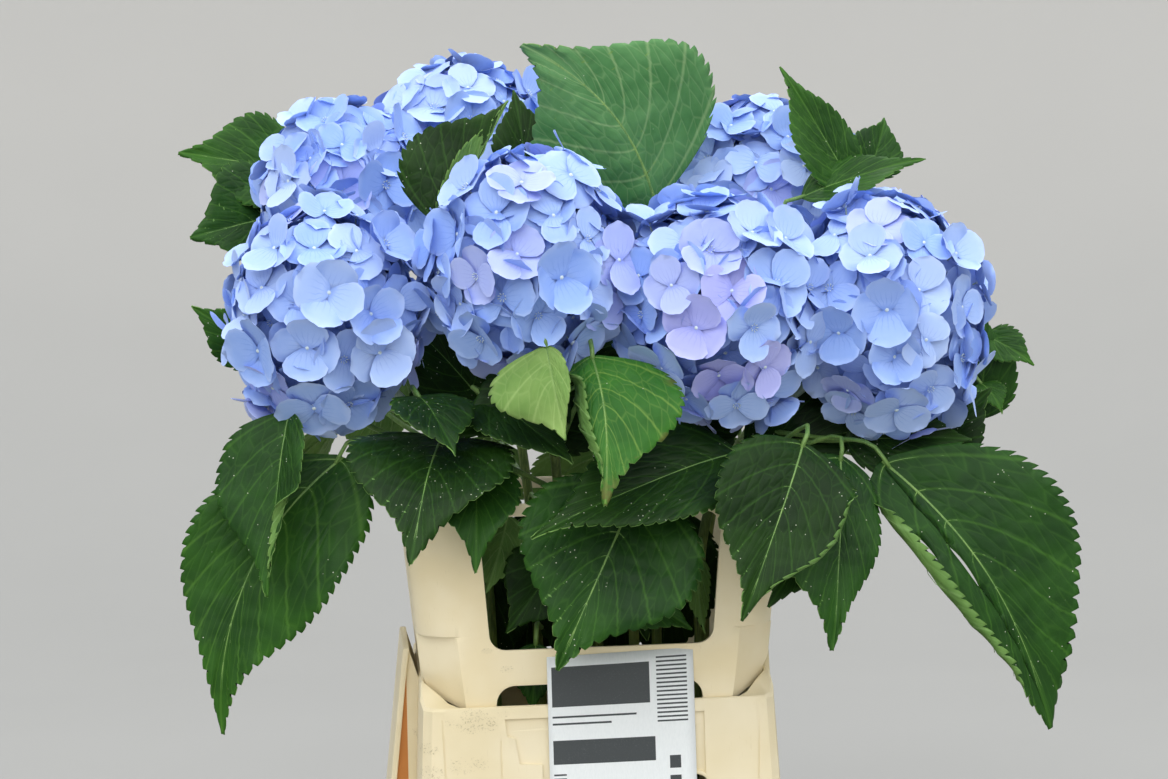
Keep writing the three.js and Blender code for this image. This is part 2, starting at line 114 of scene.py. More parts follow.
# The ledge inside the bucket carries the collar.
LEDGE = {"top": 206, "thick": 6, "half": 116, "corner": 21}
COLLAR = {"foot": 206.3, "top": 368, "half_foot": 122.5, "half_top": 138.5, "corner": 32, "wall": 3.5}
# Below the crease each corner of the collar is a flat panel. Its foot is higher by the step and rises on.
PANEL = {"crease": 274, "leg": 28, "step": 14, "rise": 12}
WINDOW = {"low": 263.5, "high": 359, "half_low": 80.5, "half_high": 86, "corner": 12, "shift": 2}
ARCH = {"high": 238, "half": 74, "corner": 13}
# The recess for the card: its stepped left edge, as points in x and z from the top down.
RECESS_STEPS = [(-69, 215), (-67.5, 203), (-62, 201), (-59, 183), (-43, 182)]
RECESS = {"right": 74, "foot": 60, "depth": 2}
# The round hole, with the radius of its lip's section, and how far the middle of that lies outside the
# hole's edge and behind the wall's face.
HOLE = {"x": 67, "z": 161.5, "radius": 9.5, "lip": 1.7, "lip_out": 0.8, "lip_sunk": 1.5}
# Grooves on the front: x and z of their two ends, their half width and their depth.
GROOVES = [((-113, 216), (-107, 60)), ((114, 216), (107, 60)), ((-72, 200), (-72, 166))]
GROOVE_HALF = 0.6
GROOVE_DEPTH = 0.7
# The guard flap on each side: half its width, its levels, those of the slit behind it, and how thick its
# tip and its wall are.
FLAP = {"half": 60, "foot": 112, "top": 258, "slit_foot": 120, "slit_top": 240, "tip": 5, "wall": 4.4}
# How far out each flap's face is at its foot and at its top. The left one stands out as in the photograph,
# and the right one, which doesn't show there, lies closer.
FLAP_REACH = {-1: (155, 138.5), 1: (139.5, 134.5)}
SIDE_NAMES = {-1: "_left", 1: "_right"}
# Behind each flap ribs reach this far out, and amber webs fill the slit from there; their amber is painted
# light, the glow of light through the plastic. Both stand near the flap's front and back edges.
SLIT_RIB = 136.5
SLIT_WEB = {"inset": 6, "half": 0.8}
# The card leans on the rim. Its top edge rises from left to right, about a pivot at a share of its width.
CARD = {"width": 105, "height": 144, "thick": 1, "left": -38, "top": 260}
CARD_SLANT = {"rise": 3, "pivot": 0.7}
# How far it bows out in the middle, and how far its back skin and the ink's two skins lie over its face.
CARD_BOW = 0.6
CARD_BACK = -0.45
INK_SKINS = (0.06, -0.1)
# Clearance between pieces.
GAP = 0.3

# The stems' way, as in the solids: at each level a share of the place of its head.
STEM_SHARES = {"foot": 0.3, "waist": 0.38, "mouth": 0.46}
STEM_LEVELS = {"straight": 40, "waist": 200, "mouth": 368}
STEM_RADIUS = (4.6, 3.2)
# The swollen leaf joints: how far apart they are, how far they are moved down, how much they swell, and
# how long the swelling is, as a share of their spacing.
JOINTS = {"spacing": 95, "shift": 30, "swell": 0.22, "reach": 0.045}
# The head's own stalk, and how far below the middle of the head it branches.
NECK_RADIUS = (3.4, 2.8)
HUB_DEPTH = 30
# The leafy shoot starts at this level and ends below the middle of its head, by this share of the head's
# half height.
SHOOT_START = 345
SHOOT_END_SHARE = 0.98
# Each head looks away from a point on the bucket's axis this far below it.
LEAN_HEIGHT = 260

# Each head: its centre and its half sizes.
HEADS = {
    "front_left": ((-188, -75, 504), (75, 78, 88)),
    "front_mid_left": ((-44, -120, 539), (74, 76, 84)),
    "front_mid_right": ((90, -120, 503), (76, 78, 88)),
    "front_right": ((220, -97, 494), (75, 78, 96)),
    "upper_left": ((-172, 60, 601), (70, 74, 72)),
    "upper_mid_left": ((-76, 120, 642), (74, 74, 72)),
    "upper_mid_right": ((153, 30, 596), (75, 75, 74)),
    "upper_middle": ((38, 50, 595), (68, 68, 70)),
    "back_middle": ((77, 170, 578), (75, 75, 75)),
    "back_right": ((257, 75, 522), (74, 75, 77)),
}

# Around this place about four in ten of the outer florets are pink.
BLUSH = {"place": (83, -188, 492), "reach": 50, "share": 0.42}


def leaf(base, tip, width, face, tint, share=None, **more):
    """What makes a leaf: the two ends of its blade, its width, the way it faces and its tint. share is how
    far up the leafy shoot its stalk leaves it. arch lifts the middle of the blade and sweep moves it
    sideways. fold turns up its two halves, and halves are their shares of the width. full widens the
    blade behind its tip. curl rolls one margin: its side, start, degrees, and from where to where along
    the blade. tears are slits: the place of each across the blade, and from where to where along it."""
    usual = {"fold": (8, 8), "arch": 5, "sweep": 0, "halves": (1, 1), "full": 0, "curl": None, "tears": ()}
    return dict(usual, base=base, tip=tip, width=width, face=face, tint=tint, share=share, **more)


# Leaves where the photograph shows them, and more like them round the back.
LEAVES = {
    "front_left": [
        leaf((-178, -92, 402), (-267, -118, 211), 112, (-0.2, -1, 0.2), "fresh", 0.55, arch=14, sweep=26,
             halves=(1.14, 0.94)),
        leaf((-215, -112, 437), (-232, -150, 310), 78, (-0.4, -1, 0.2), "mid", 0.45, fold=(25, 8),
             halves=(0.6, 1.15), curl=(-1, 0.5, 150, 0.5, 1.0)),
        leaf((-107, -98, 415), (-134, -205, 335), 116, (0, -0.7, 1), "deep", 0.2, arch=16),
        leaf((-124, -120, 445), (-102, -186, 406), 58, (0.2, -0.8, 1), "deep", 0.45),
        leaf((-234, 22, 476), (-291, 5, 515), 48, (-0.3, -1, 0.1), "fresh", 0.8),
        leaf((-64, -20, 427), (-132, -40, 503), 96, (0, -1, 0.3), "deep", 0.35),
    ],
    "front_mid_left": [
        leaf((-84, -112, 394), (-89, -172, 324), 62, (0, -1, 0.7), "mid", 0.2, arch=14),
        leaf((-77, -102, 444), (-20, -168, 396), 70, (0.3, -1, 0.6), "deep", 0.55),
        leaf((-4, -158, 471), (-5, -228, 372), 104, (0, -1, 0.5), "light", 0.7, fold=(4, -20), arch=10,
             sweep=-4, halves=(1.04, 0.66), curl=(1, 0.55, 150, 0.15, 0.85)),
        leaf((-37, -176, 479), (-28, -206, 415), 76, (-0.2, -1, 0.4), "pale", 0.6, fold=(0, -12),
             halves=(0.3, 1.2)),
        leaf((-17, -104, 445), (-103, -128, 415), 66, (0, -1, 0.5), "deep", 0.4),
        leaf((20, 10, 419), (39, 10, 500), 70, (0, -1, 0.1), "deep", 0.4),
        leaf((-50, -50, 419), (34, -70, 477), 96, (0, -1, 0.3), "deep", 0.5),
    ],
    "front_mid_right": [
        leaf((29, -146, 379), (-36, -186, 257), 130, (-0.1, -1, 0.2), "mid", 0.12, arch=8),
        leaf((102, -136, 399), (-53, -204, 349), 84, (0, -0.8, 0.7), "deep", 0.5, arch=10),
        leaf((50, -60, 409), (131, -92, 431), 84, (0, -1, 0.4), "deep", 0.6),
    ],
    "front_right": [
        leaf((144, -160, 406), (87, -216, 290), 102, (0.1, -1, 0.3), "deep", 0.25, arch=8,
             curl=(-1, 0.82, 130, 0.2, 0.9)),
        leaf((178, -126, 394), (157, -180, 262), 100, (0.2, -1, 0.2), "mid", 0.4, arch=6,
             halves=(0.58, 1.34)),
        leaf((182, -112, 367), (118, -150, 290), 76, (0, -1, 0.2), "deep", 0.3),
        leaf((210, -120, 389), (318, -160, 197), 118, (0, -1, 0.2), "mid", 0.7, arch=14, sweep=-17,
             halves=(1.31, 0.9), full=0.14, curl=(1, 0.72, 156, 0.1, 0.78),
             tears=((0.5, 0.26, 0.36), (0.22, 0.35, 0.5))),
        leaf((120, -60, 393), (212, -84, 411), 92, (0, -1, 0.4), "deep", 0.5),
        leaf((149, -40, 444), (245, -60, 422), 84, (0, -1, 0.2), "deep", 0.6),
        leaf((190, -92, 403), (281, -108, 402), 60, (0, -1, 0.4), "deep", 0.6),
    ],
    "upper_left": [
        leaf((-209, 160, 623), (-308, 125, 642), 92, (-0.3, -1, 0.5), "fresh", 0.4),
        leaf((-220, 140, 589), (-298, 96, 571), 106, (-0.5, -1, 0.1), "mid", 0.3),
        leaf((-174, 62, 429), (-233, 92, 291), 96, (-1, 0.4, 0.4), "mid", 0.2, arch=14),
    ],
    "upper_mid_left": [
        leaf((-105, -124, 564), (-54, -108, 655), 98, (-0.1, -1, 0), "deep", 0.5, fold=(0, 0), arch=3,
             halves=(1.0, 0.4), curl=(1, 0.06, 162, -0.2, 1.2)),
        leaf((-31, 8, 601), (-41, 16, 677), 50, (0, -1, 0.1), "deep", 0.65),
        leaf((-110, 150, 473), (-173, 225, 364), 104, (-0.4, 1, 0.6), "mid", 0.3, arch=14),
        leaf((-62, 158, 401), (-91, 215, 257), 104, (-0.2, 1, 0.4), "deep", 0.1, arch=12),
    ],
    "upper_mid_right": [
        leaf((148, 118, 396), (160, 180, 258), 98, (0.5, 1, 0.4), "mid", 0.2, arch=12),
    ],
    "upper_middle": [
        leaf((60, -44, 582), (-39, -44, 704), 160, (-0.05, -1, 0.1), "dull", 0.55, fold=(-20, 4), arch=6,
             sweep=18),
    ],
    "back_middle": [
        leaf((38, 165, 399), (14, 225, 245), 108, (0, 1, 0.4), "deep", 0.15, arch=12),
        leaf((59, 190, 454), (38, 285, 399), 96, (0, 0.8, 1), "mid", 0.35, arch=10),
        leaf((135, 180, 467), (204, 240, 425), 90, (0.5, 0.8, 1), "mid", 0.45, arch=10),
    ],
    "back_right": [
        leaf((166, 60, 412), (191, 84, 280), 78, (1, 0.3, 0.4), "mid", 0.4, arch=10),
        leaf((307, -36, 413), (312, -44, 496), 54, (0.1, -1, 0.1), "mid", 0.5),
        leaf((312, -40, 477), (345, -60, 454), 32, (0, -1, 0.4), "fresh", 0.55),
        leaf((305, -52, 441), (316, -70, 418), 24, (0.2, -1, 0.2), "fresh", 0.45),
        leaf((255, -74, 393), (303, -88, 439), 52, (0, -1, 0.3), "deep", 0.4),
        leaf((266, -30, 407), (290, -98, 379), 50, (0.3, -1, 0.8), "deep", 0.35),
        leaf((209, -64, 587), (155, -56, 684), 62, (-0.1, -1, 0.2), "fresh", 0.75, fold=(30, 8),
             halves=(1, 0.66)),
        leaf((225, -32, 601), (244, -18, 648), 46, (0.2, -1, 0.1), "mid", 0.6),
        leaf((166, -72, 584), (257, -88, 610), 42, (0, -0.9, 1), "fresh", 0.85, arch=4),
    ],
}

# Leaves that show through the collar's windows and arches, on the stems inside.
INNER_LEAVES = [
    leaf((-61, -98, 357), (-79, -106, 302), 42, (0.4, 1, 0.1), "mid"),
    leaf((80, -96, 320), (80, -104, 266), 24, (-0.6, 1, 0), "mid"),
    leaf((-18, -92, 330), (-65, -108, 273), 62, (0, -1, 0.3), "deep"),
    leaf((14, -104, 306), (69, -114, 271), 44, (0, -1, 0.4), "mid"),
    leaf((-43, -96, 263), (-48, -106, 215), 34, (0, -1, 0.1), "mid"),
    leaf((26, -70, 329), (39, -92, 261), 66, (0, -1, 0.2), "deep"),
    leaf((-74, 24, 350), (-66, 40, 204), 84, (0, -1, 0.1), "deep"),
    leaf((-34, 46, 346), (-40, 60, 204), 88, (0, -1, 0.1), "deep"),
    leaf((2, 24, 352), (-4, 40, 204), 88, (0, -1, 0.1), "deep"),
    leaf((36, 46, 346), (32, 60, 204), 88, (0, -1, 0.1), "deep"),
    leaf((74, 24, 350), (66, 40, 204), 84, (0, -1, 0.1), "deep"),
    leaf((-45, 66, 301), (-37, 100, 215), 80, (0, 1, 0.2), "deep"),
    leaf((40, 66, 305), (23, 100, 215), 84, (0, 1, 0.2), "deep"),
]
# Their stalks start further in: at this share of the blade's own x, at this y and this far above its z.
INNER_ROOT = (0.8, -40, 4)
LEAF_THICK = 0.7
# Radii at the two ends.
STALK_RADIUS = (2.4, 1.7)
MIDRIB_RADIUS = (1.6, 0.35)
SIDE_VEIN_RADIUS = (0.6, 0.18)
# Half the width of a usual leaf. On it the margins ripple, the blade dips along its length and the quilting
# bulges between the veins by these depths. On other leaves all this is in proportion.
USUAL_HALF = 55
RIPPLE = 2.2
DIP = 1.6
QUILTING = 2.1
# Pairs of side veins, two fewer on a leaf shorter than this. They bend towards the tip, and the first and
# the last pair start and end at these shares of the blade.
VEIN_PAIRS = 7
SHORT_LEAF = 90
VEIN_BEND = 1.45
VEIN_START = (0.015, 0.78)
VEIN_END = (0.24, 0.985)
# A tooth's length along the margin and its height, and its shape: shares of both.
TOOTH = 8.2
TOOTH_HEIGHT = 3.4
TOOTH_SHAPE = [(0.0, -0.55), (0.3, 0.15), (0.62, 0.45), (0.9, 0.6)]

# Florets: real ones are about 42 mm across.
FLORET_RADIUS = 22.2
# The layers from the outermost in: how many florets a whole head has, where they lie, as shares of the
# head's half sizes, how large they are and how unevenly they face.
LAYERS = [
    {"count": 58, "near": 0.84, "spread": 0.11, "size": 1.1, "wobble": 0.42},
    {"count": 60, "near": 0.73, "spread": 0.08, "size": 1.04, "wobble": 0.55},
    {"count": 48, "near": 0.6, "spread": 0.07, "size": 1.0, "wobble": 0.5},
]
# The lowest florets face down as steeply as this height on a ball of radius 1.
LOWEST = -0.86
# How far a floret's foot may stand past the plane between two heads. Between two places before that
# plane florets turn away from the neighbour more and more, up to this share of their lean towards it.
MOST_PAST = 4
TURNING_AWAY = (-28, -2)
TURN_SHARE = 0.85
# How unevenly florets are scattered, and from how small to how large they are beside the usual one.
SCATTER = 0.05
FLORET_SIZES = (0.84, 1.12)
# The radius of a floret's own stalk at its foot, bend and end.
FLORET_STALK = [1.1, 0.8, 0.7]
# A sepal: its greatest half width and how far its end's corners are drawn back, as shares of its length,
# and the heights of its ruffle and of the valley along its middle.
SEPAL = {"half": 0.6, "drawn_back": 0.05, "ruffle": 0.9, "valley": 1.0}
# Its outline: shares of its length and of its greatest width there, and the columns across it.
SEPAL_ROWS = [(0.0, 0.2), (0.14, 0.52), (0.33, 0.86), (0.56, 1.0), (0.78, 0.9), (0.93, 0.63), (1.0, 0.34)]
SEPAL_COLUMNS = (-1.0, -0.6, 0.0, 0.6, 1.0)
# How far above the two lower sepals the two upper ones lie.
UPPER_LIFT = 1.9
# The heart's size, of that which its floret gives it.
HEART_SIZE = 0.95
# Each shape's share of the florets, in the order of FLORET_KINDS, and the shares of closed and open hearts.
KIND_SHARES = [0.34, 0.22, 0.14, 0.12, 0.1, 0.08]
HEART_SHARES = [0.62, 0.38]

# The petals' tints, dealt out floret by floret: body, edge and the veins at the heart.
TINTS = {
    "sky": ("9DBAF3", "B4CAF9", "6888DA"),
    "pale": ("A9C3F6", "BCD1FB", "7897E0"),
    "clear": ("90B0F0", "ACC5F8", "5E82D8"),
    "lilac": ("A6B5F2", "BAC7F9", "7A8ADC"),
    "pink": ("A9AEF0", "BDC2F9", "7C86DA"),
    # Painted shade: this darker tint goes to florets deep inside a head, where shade falls.
    "dusk": ("90AEF1", "AAC3F7", "6284D6"),
}
# The shares of the outer florets' tints. Deeper in, this share gets the darker tint that paints the shade
# inside a head, and the rest clear.
TINT_SHARES = {"sky": 0.46, "pale": 0.2, "clear": 0.26, "lilac": 0.08}
PAINTED_SHADE_SHARE = 0.65


# Vectors and curves.


def unit(vector):
    vector = np.asarray(vector, float)
    return vector / np.linalg.norm(vector, axis=-1, keepdims=True)


def square_to(direction, axis):
    """The unit vector nearest to one direction that is square to another."""
    axis = unit(axis)
    direction = np.asarray(direction, float)
    return unit(direction - axis * np.dot(direction, axis))


def mix(first, second, share):
    return first + (second - first) * share


def ramp(value, low, high):
    """0 below low, 1 above high, and smooth between them."""
    t = np.clip((np.asarray(value, float) - low) / (high - low), 0, 1)
    return t * t * (3 - 2 * t)


def spline(points, steps):
    """A centripetal Catmull-Rom curve through points, sampled at even lengths."""
    points = np.asarray(points, float)
    knots = np.vstack([2 * points[0] - points[1], points, 2 * points[-1] - points[-2]])
    samples = []
    for i in range(1, len(knots) - 2):
        a, b, c, d = knots[i - 1 : i + 3]
        gaps = [math.sqrt(np.linalg.norm(q - p)) for p, q in ((a, b), (b, c), (c, d))]
        leave = ((b - a) / gaps[0] - (c - a) / (gaps[0] + gaps[1]) + (c - b) / gaps[1]) * gaps[1]
        reach = ((c - b) / gaps[1] - (d - b) / (gaps[1] + gaps[2]) + (d - c) / gaps[2]) * gaps[1]
        for t in np.linspace(0, 1, 50, endpoint=i == len(knots) - 3):
            cubic = 2 * t**3 - 3 * t**2
            turn = leave * (t**3 - 2 * t**2 + t) + reach * (t**3 - t**2)
            samples.append(b * (cubic + 1) - c * cubic + turn)
    return even(np.array(samples), steps)


def even(points, steps):
    """Points at even lengths along a line of points."""
    lengths = np.concatenate([[0], np.cumsum(np.linalg.norm(np.diff(points, axis=0), axis=1))])
    wanted = np.linspace(0, lengths[-1], steps)
    return np.column_stack([np.interp(wanted, lengths, points[:, i]) for i in range(3)])


def stem_to(name):
    """The way from the bucket's floor to the middle of a head, as in the solids, and the share of it at
    which the leafy shoot ends."""
    (x, y, z), half = HEADS[name]
    levels = [(STEM_SHARES["foot"], BUCKET["floor"] + GAP), (STEM_SHARES["foot"], STEM_LEVELS["straight"])]
    levels += [(STEM_SHARES[part], STEM_LEVELS[part]) for part in ("waist", "mouth")]
    line = spline([(x * share, y * share, level) for share, level in levels] + [(x, y, z)], 201)
    return line, 1 - SHOOT_END_SHARE * half[2] / length_of(line)


def at_share(line, share):
    """The point at a share of the length of an evenly spaced line."""
    place = np.clip(share, 0, 1) * (len(line) - 1)
    low = int(min(math.floor(place), len(line) - 2))
    return mix(line[low], line[low + 1], place - low)


def length_of(line):
    return float(np.linalg.norm(np.diff(line, axis=0), axis=1).sum())


# Meshes.


class Heap:
    """Collects many small meshes into one piece, with a material slot for each face and two UV maps."""

    def __init__(self):
        self.points = []
        self.faces = []
        self.slots = []
        self.maps = []
        self.count = 0

    def add(self, points, faces, slot=0, maps=None):
        """slot is one number or one for each face; maps has four numbers for each point."""
        points = np.asarray(points, float).reshape(-1, 3)
        self.points.append(points)
        self.faces += [tuple(int(i) + self.count for i in face) for face in faces]
        self.slots += list(slot) if np.ndim(slot) else [slot] * len(faces)
        self.maps.append(np.zeros((len(points), 4)) if maps is None else np.reshape(maps, (-1, 4)))
        self.count += len(points)

    def build(self, name, materials, smooth=True):
        mesh = bpy.data.meshes.new(name)
        mesh.from_pydata(np.vstack(self.points) * MM, [], self.faces)
        for skin in materials:
            mesh.materials.append(skin)
        mesh.polygons.foreach_set("material_index", self.slots)
        mesh.polygons.foreach_set("use_smooth", [smooth] * len(self.faces))
        corners = np.zeros(len(mesh.loops), int)
        mesh.loops.foreach_get("vertex_index", corners)
        maps = np.vstack(self.maps)[corners]
        for layer, part in (("veins", maps[:, :2]), ("blade", maps[:, 2:])):
            mesh.uv_layers.new(name=layer).data.foreach_set("uv", part.ravel())
        mesh.update()
        return in_scene(name, mesh)


def in_scene(name, data):
    """A new object in the scene, from its mesh, light or camera."""
    made = bpy.data.objects.new(name, data)
    bpy.context.scene.collection.objects.link(made)
    return made


def grid_faces(rows, columns, closed=False):
    """Quads between the points of a grid; closed joins its last column to its first."""
    faces = []
    for r in range(rows - 1):
        for c in range(columns if closed else columns - 1):
            n = (c + 1) % columns
            faces.append((r * columns + c, r * columns + n, (r + 1) * columns + n, (r + 1) * columns + c))
    return faces


def open_edges(faces):
    """The edges that only one face uses, in that face's own direction."""
    edges = set()
    for face in faces:
        for a, b in zip(face, face[1:] + face[:1]):
            if (b, a) in edges:
                edges.remove((b, a))
            else:
                edges.add((a, b))
    return sorted(edges)


def add_sheet(heap, front, back, faces, maps=None):
    """A thin sheet with a front and a back skin and rims between them, in the slots 0 and 1 of its heap
    where it has maps, and in slot 0 where it has none."""
    total = len(front)
    under = [tuple(i + total for i in face[::-1]) for face in faces]
    rims = [(b, a, a + total, b + total) for a, b in open_edges(faces)]
    marks = 0
    if maps is not None:
        marks = [0] * len(faces) + [1] * (len(under) + len(rims))
        maps = np.vstack([maps, maps])
    heap.add(np.vstack([front, back]), faces + under + rims, marks, maps)


def tube(heap, line, radii, sides=8, flat=1.0, normals=None, ribs=0.0):
    """A capped tube along a line. flat squashes it along normals, and ribs gives it lengthwise ridges."""
    line = np.asarray(line, float)
    tangents = unit(np.gradient(line, axis=0))
    radii = np.broadcast_to(radii, len(line))
    side = square_to((1, 0.13, 0.07), tangents[0]) if normals is None else None
    rings = []
    for i, (middle, along, radius) in enumerate(zip(line, tangents, radii)):
        if normals is None:
            side = square_to(side, along)
            across = np.cross(along, side)
        else:
            across = square_to(normals[i], along)
            side = np.cross(across, along)
        angles = np.arange(sides) * 2 * math.pi / sides
        reach = radius * (1 + ribs * np.cos(3 * angles))
        rings.append(
            middle
            + np.outer(reach * np.cos(angles), side)
            + np.outer(reach * flat * np.sin(angles), across)
        )
    points = np.vstack(rings)
    last = (len(line) - 1) * sides
    faces = grid_faces(len(line), sides, closed=True)
    faces.append(tuple(range(sides))[::-1])
    faces.append(tuple(range(last, last + sides)))
    along_share = np.repeat(np.linspace(0, 1, len(line)), sides)
    around = np.tile(np.arange(sides) / sides, len(line))
    heap.add(points, faces, maps=np.column_stack([around, along_share, around, along_share]))


# Colours and materials.


def linear(code):
    """An sRGB hex colour as linear red, green, blue and alpha."""
    parts = [int(code[i : i + 2], 16) / 255 for i in (0, 2, 4)]
    return tuple(p / 12.92 if p <= 0.04045 else ((p + 0.055) / 1.055) ** 2.4 for p in parts) + (1.0,)


# Settings that every node of a kind has here. A Map Range node is a smooth step from 0 to 1 between two
# limits, and the second limit may be the lower one, to turn it round.
NODE_SETTINGS = {"Mix": {"data_type": "RGBA"}, "MapRange": {"interpolation_type": "SMOOTHSTEP"}}


def add_node(tree, kind, *inputs, out=None, **settings):
    """Adds a node with its settings and links, and returns its first output or the one that is named. An
    input is a value or another node's output. Inputs fill the node's live sockets in their order, or a
    dict names them. A kind in capitals is the operation of a Math node."""
    if kind.isupper():
        settings["operation"] = kind
        kind = "Math"
    node = tree.nodes.new(kind if "Node" in kind else "ShaderNode" + kind)
    for name, value in {**NODE_SETTINGS.get(kind, {}), **settings}.items():
        setattr(node, name, value)
    if inputs and isinstance(inputs[0], dict):
        filled = [(node.inputs[name], value) for name, value in inputs[0].items()]
    else:
        filled = zip([socket for socket in node.inputs if socket.enabled], inputs)
    for socket, value in filled:
        if isinstance(value, bpy.types.NodeSocket):
            tree.links.new(value, socket)
        else:
            socket.default_value = value
    return node.outputs[out] if out else next((socket for socket in node.outputs if socket.enabled), None)


def material(name, roughness, specular=0.5, **inputs):
    """A new material, what adds a node to it, and the object's coordinates in it."""
    made = bpy.data.materials.new(name)
    made.use_nodes = True
    values = {"Roughness": roughness, "Specular_IOR_Level": specular, **inputs}
    for socket, value in values.items():
        made.node_tree.nodes["Principled BSDF"].inputs[socket.replace("_", " ")].default_value = value
    add = partial(add_node, made.node_tree)
    return made, add, add("TexCoord", out="Object")


def finish(made, colour, height=None, depth_mm=0.0, strength=1.0, roughness=None):
    """Links a material's colour, bump and roughness to its shader."""
    tree = made.node_tree
    ends = {"Base Color": colour, "Roughness": roughness}
    if height is not None:
        links = {"Height": height, "Distance": depth_mm * MM, "Strength": strength}
        ends["Normal"] = add_node(tree, "Bump", links)
    for name, end in ends.items():
        if end is not None:
            tree.links.new(end, tree.nodes["Principled BSDF"].inputs[name])
    return made


def noise(add, place, size_mm, detail=2.0, roughness=0.5, stretch=(1, 1, 1)):
    """Noise whose features are about size_mm across, on coordinates in metres."""
    scaled = add("Mapping", {"Vector": place, "Scale": stretch})
    return add("TexNoise", scaled, 1 / (size_mm * MM), detail, roughness)


def uv_parts(add, name):
    """The two channels of a UV map."""
    parts = add("SeparateXYZ", add("UVMap", uv_map=name)).node.outputs
    return parts[0], parts[1]


def petal_material(name, colours):
    """A hydrangea sepal: thin, matt and slightly satin, paler at its rim, with fine darker veins that fan
    out from the heart, and painted shade along the sides of the two lower sepals. Its sheen comes from the
    fine cells of its skin."""
    body, edge, vein = (linear(code) for code in colours)
    made, add, place = material(name, 0.66, 0.14, Sheen_Weight=0.06, Sheen_Roughness=0.4)
    across, along = uv_parts(add, "blade")
    # Each floret is a little lighter or darker than the next.
    shade = add("Attribute", out="Fac", attribute_name="shade")
    body_mix = add("Mix", add("MULTIPLY", shade, 0.5), body, edge)
    side = add("MULTIPLY", add("ABSOLUTE", across), add("MapRange", along, 0.1, 0.4))
    rim = add("MAXIMUM", add("MapRange", along, 0.72, 1.0), add("MapRange", side, 0.72, 1.0))
    tinted = add("Mix", add("MULTIPLY", rim, 0.8), body_mix, edge)
    # Seven veins across a sepal, each a little off its place, fading towards the rim.
    shift = add("MULTIPLY", noise(add, place, 9), 3.0)
    wave = add("SINE", add("ADD", add("MULTIPLY", across, 22.0), shift))
    veins = add("MULTIPLY", add("MapRange", wave, 0.6, 1.0), add("MapRange", along, 0.7, 0.08))
    heart = add("MULTIPLY", add("MapRange", along, 0.22, 0.02), 0.6)
    veined = add("Mix", add("MAXIMUM", add("MULTIPLY", veins, 0.42), heart), tinted, vein)
    # Painted shade: the two lower sepals are deeper blue along their sides, where the upper ones cover them
    # and shade them.
    upper = uv_parts(add, "veins")[0]
    covered_shade = add("MULTIPLY", add("MapRange", upper, 0.9, 0.1), add("MapRange", along, 0.95, 0.6))
    covered_shade = add("MULTIPLY", covered_shade, add("MapRange", add("ABSOLUTE", across), 0.35, 0.9))
    shaded = add("Mix", add("MULTIPLY", covered_shade, 0.5), veined, vein)
    mottle = add("MapRange", noise(add, place, 7, 3), 0.35, 0.7)
    mottled = add("Mix", add("MULTIPLY", mottle, 0.18), shaded, edge)
    height = add("ADD", add("MULTIPLY", veins, 0.5), noise(add, place, 3.5))
    return finish(made, mottled, height, 0.2, 0.4)


def leaf_material(name, dark, light, vein, roughness, dust, withered=0.0):
    """A hydrangea leaf: quilted between impressed pale veins, satin from its waxy skin, with a fine
    network of small veins, a lighter tip and margin, specks of dust and a withered tip."""
    made, add, place = material(name, roughness, 0.14)
    phase, off = uv_parts(add, "veins")
    across, along = uv_parts(add, "blade")
    patches = add("MULTIPLY", add("MapRange", noise(add, place, 30, 3), 0.3, 0.75), 0.55)
    tip = add("MULTIPLY", add("MapRange", along, 0.55, 1.0), 0.45)
    margin = add("MapRange", add("ABSOLUTE", across), 0.8, 1.05)
    lighter = add("ADD", add("ADD", patches, tip), add("MULTIPLY", margin, 0.25), use_clamp=True)
    body = add("Mix", lighter, linear(dark), linear(light))
    # The small veins: cells about 8 mm across, drawn on the leaf's own coordinates.
    cell_place = add("CombineXYZ", add("MULTIPLY", phase, 1.8), add("MULTIPLY", off, 0.7))
    links = {"Vector": cell_place, "Scale": 1.0, "Randomness": 0.9}
    cells = add("TexVoronoi", links, feature="DISTANCE_TO_EDGE", voronoi_dimensions="2D")
    netted = add("Mix", add("MULTIPLY", add("MapRange", cells, 0.09, 0.0), 0.12), body, linear(vein))
    # A pale band beside each side vein and the midrib.
    fraction = add("FRACT", phase)
    near = add("MINIMUM", fraction, add("SUBTRACT", 1.0, fraction))
    band = add("MAXIMUM", add("MapRange", near, 0.07, 0.0), add("MapRange", off, 0.3, 0.0))
    banded = add("Mix", add("MULTIPLY", band, 0.3), netted, linear(vein))
    # Dust lies in grains under 1 mm, thicker in some places.
    specks = add("TexVoronoi", {"Vector": place, "Scale": 1 / (3.4 * MM), "Randomness": 1.0}).node.outputs
    dots = add("MapRange", specks["Distance"], 0.15, 0.07)
    lying = add("MULTIPLY", add("MapRange", noise(add, place, 38), 0.45, 0.6), dust)
    chosen = add("GREATER_THAN", lying, add("SeparateXYZ", specks["Color"]))
    dusted = add("Mix", add("MULTIPLY", dots, chosen), banded, linear("BFC5B0"))
    # The tip and some of the margin turn brown.
    dead = add("MapRange", noise(add, place, 6, 3), 0.4, 0.55)
    dead = add("MULTIPLY", add("MapRange", along, 0.8, 0.95), dead)
    spots = add("MULTIPLY", margin, add("MapRange", noise(add, place, 16), 0.62, 0.68))
    brown = add("MULTIPLY", add("MAXIMUM", dead, spots), withered)
    browned = add("Mix", brown, dusted, linear("5B5A2E"))
    fine = add("MULTIPLY", add("MapRange", cells, 0.0, 0.35), add("MapRange", along, 0.75, 0.45))
    height = add("ADD", fine, add("MULTIPLY", noise(add, place, 1.2), 0.3))
    gloss = add("ADD", roughness - 0.1, add("MULTIPLY", noise(add, place, 12), 0.2))
    return finish(made, browned, height, 0.5, 0.6, gloss)


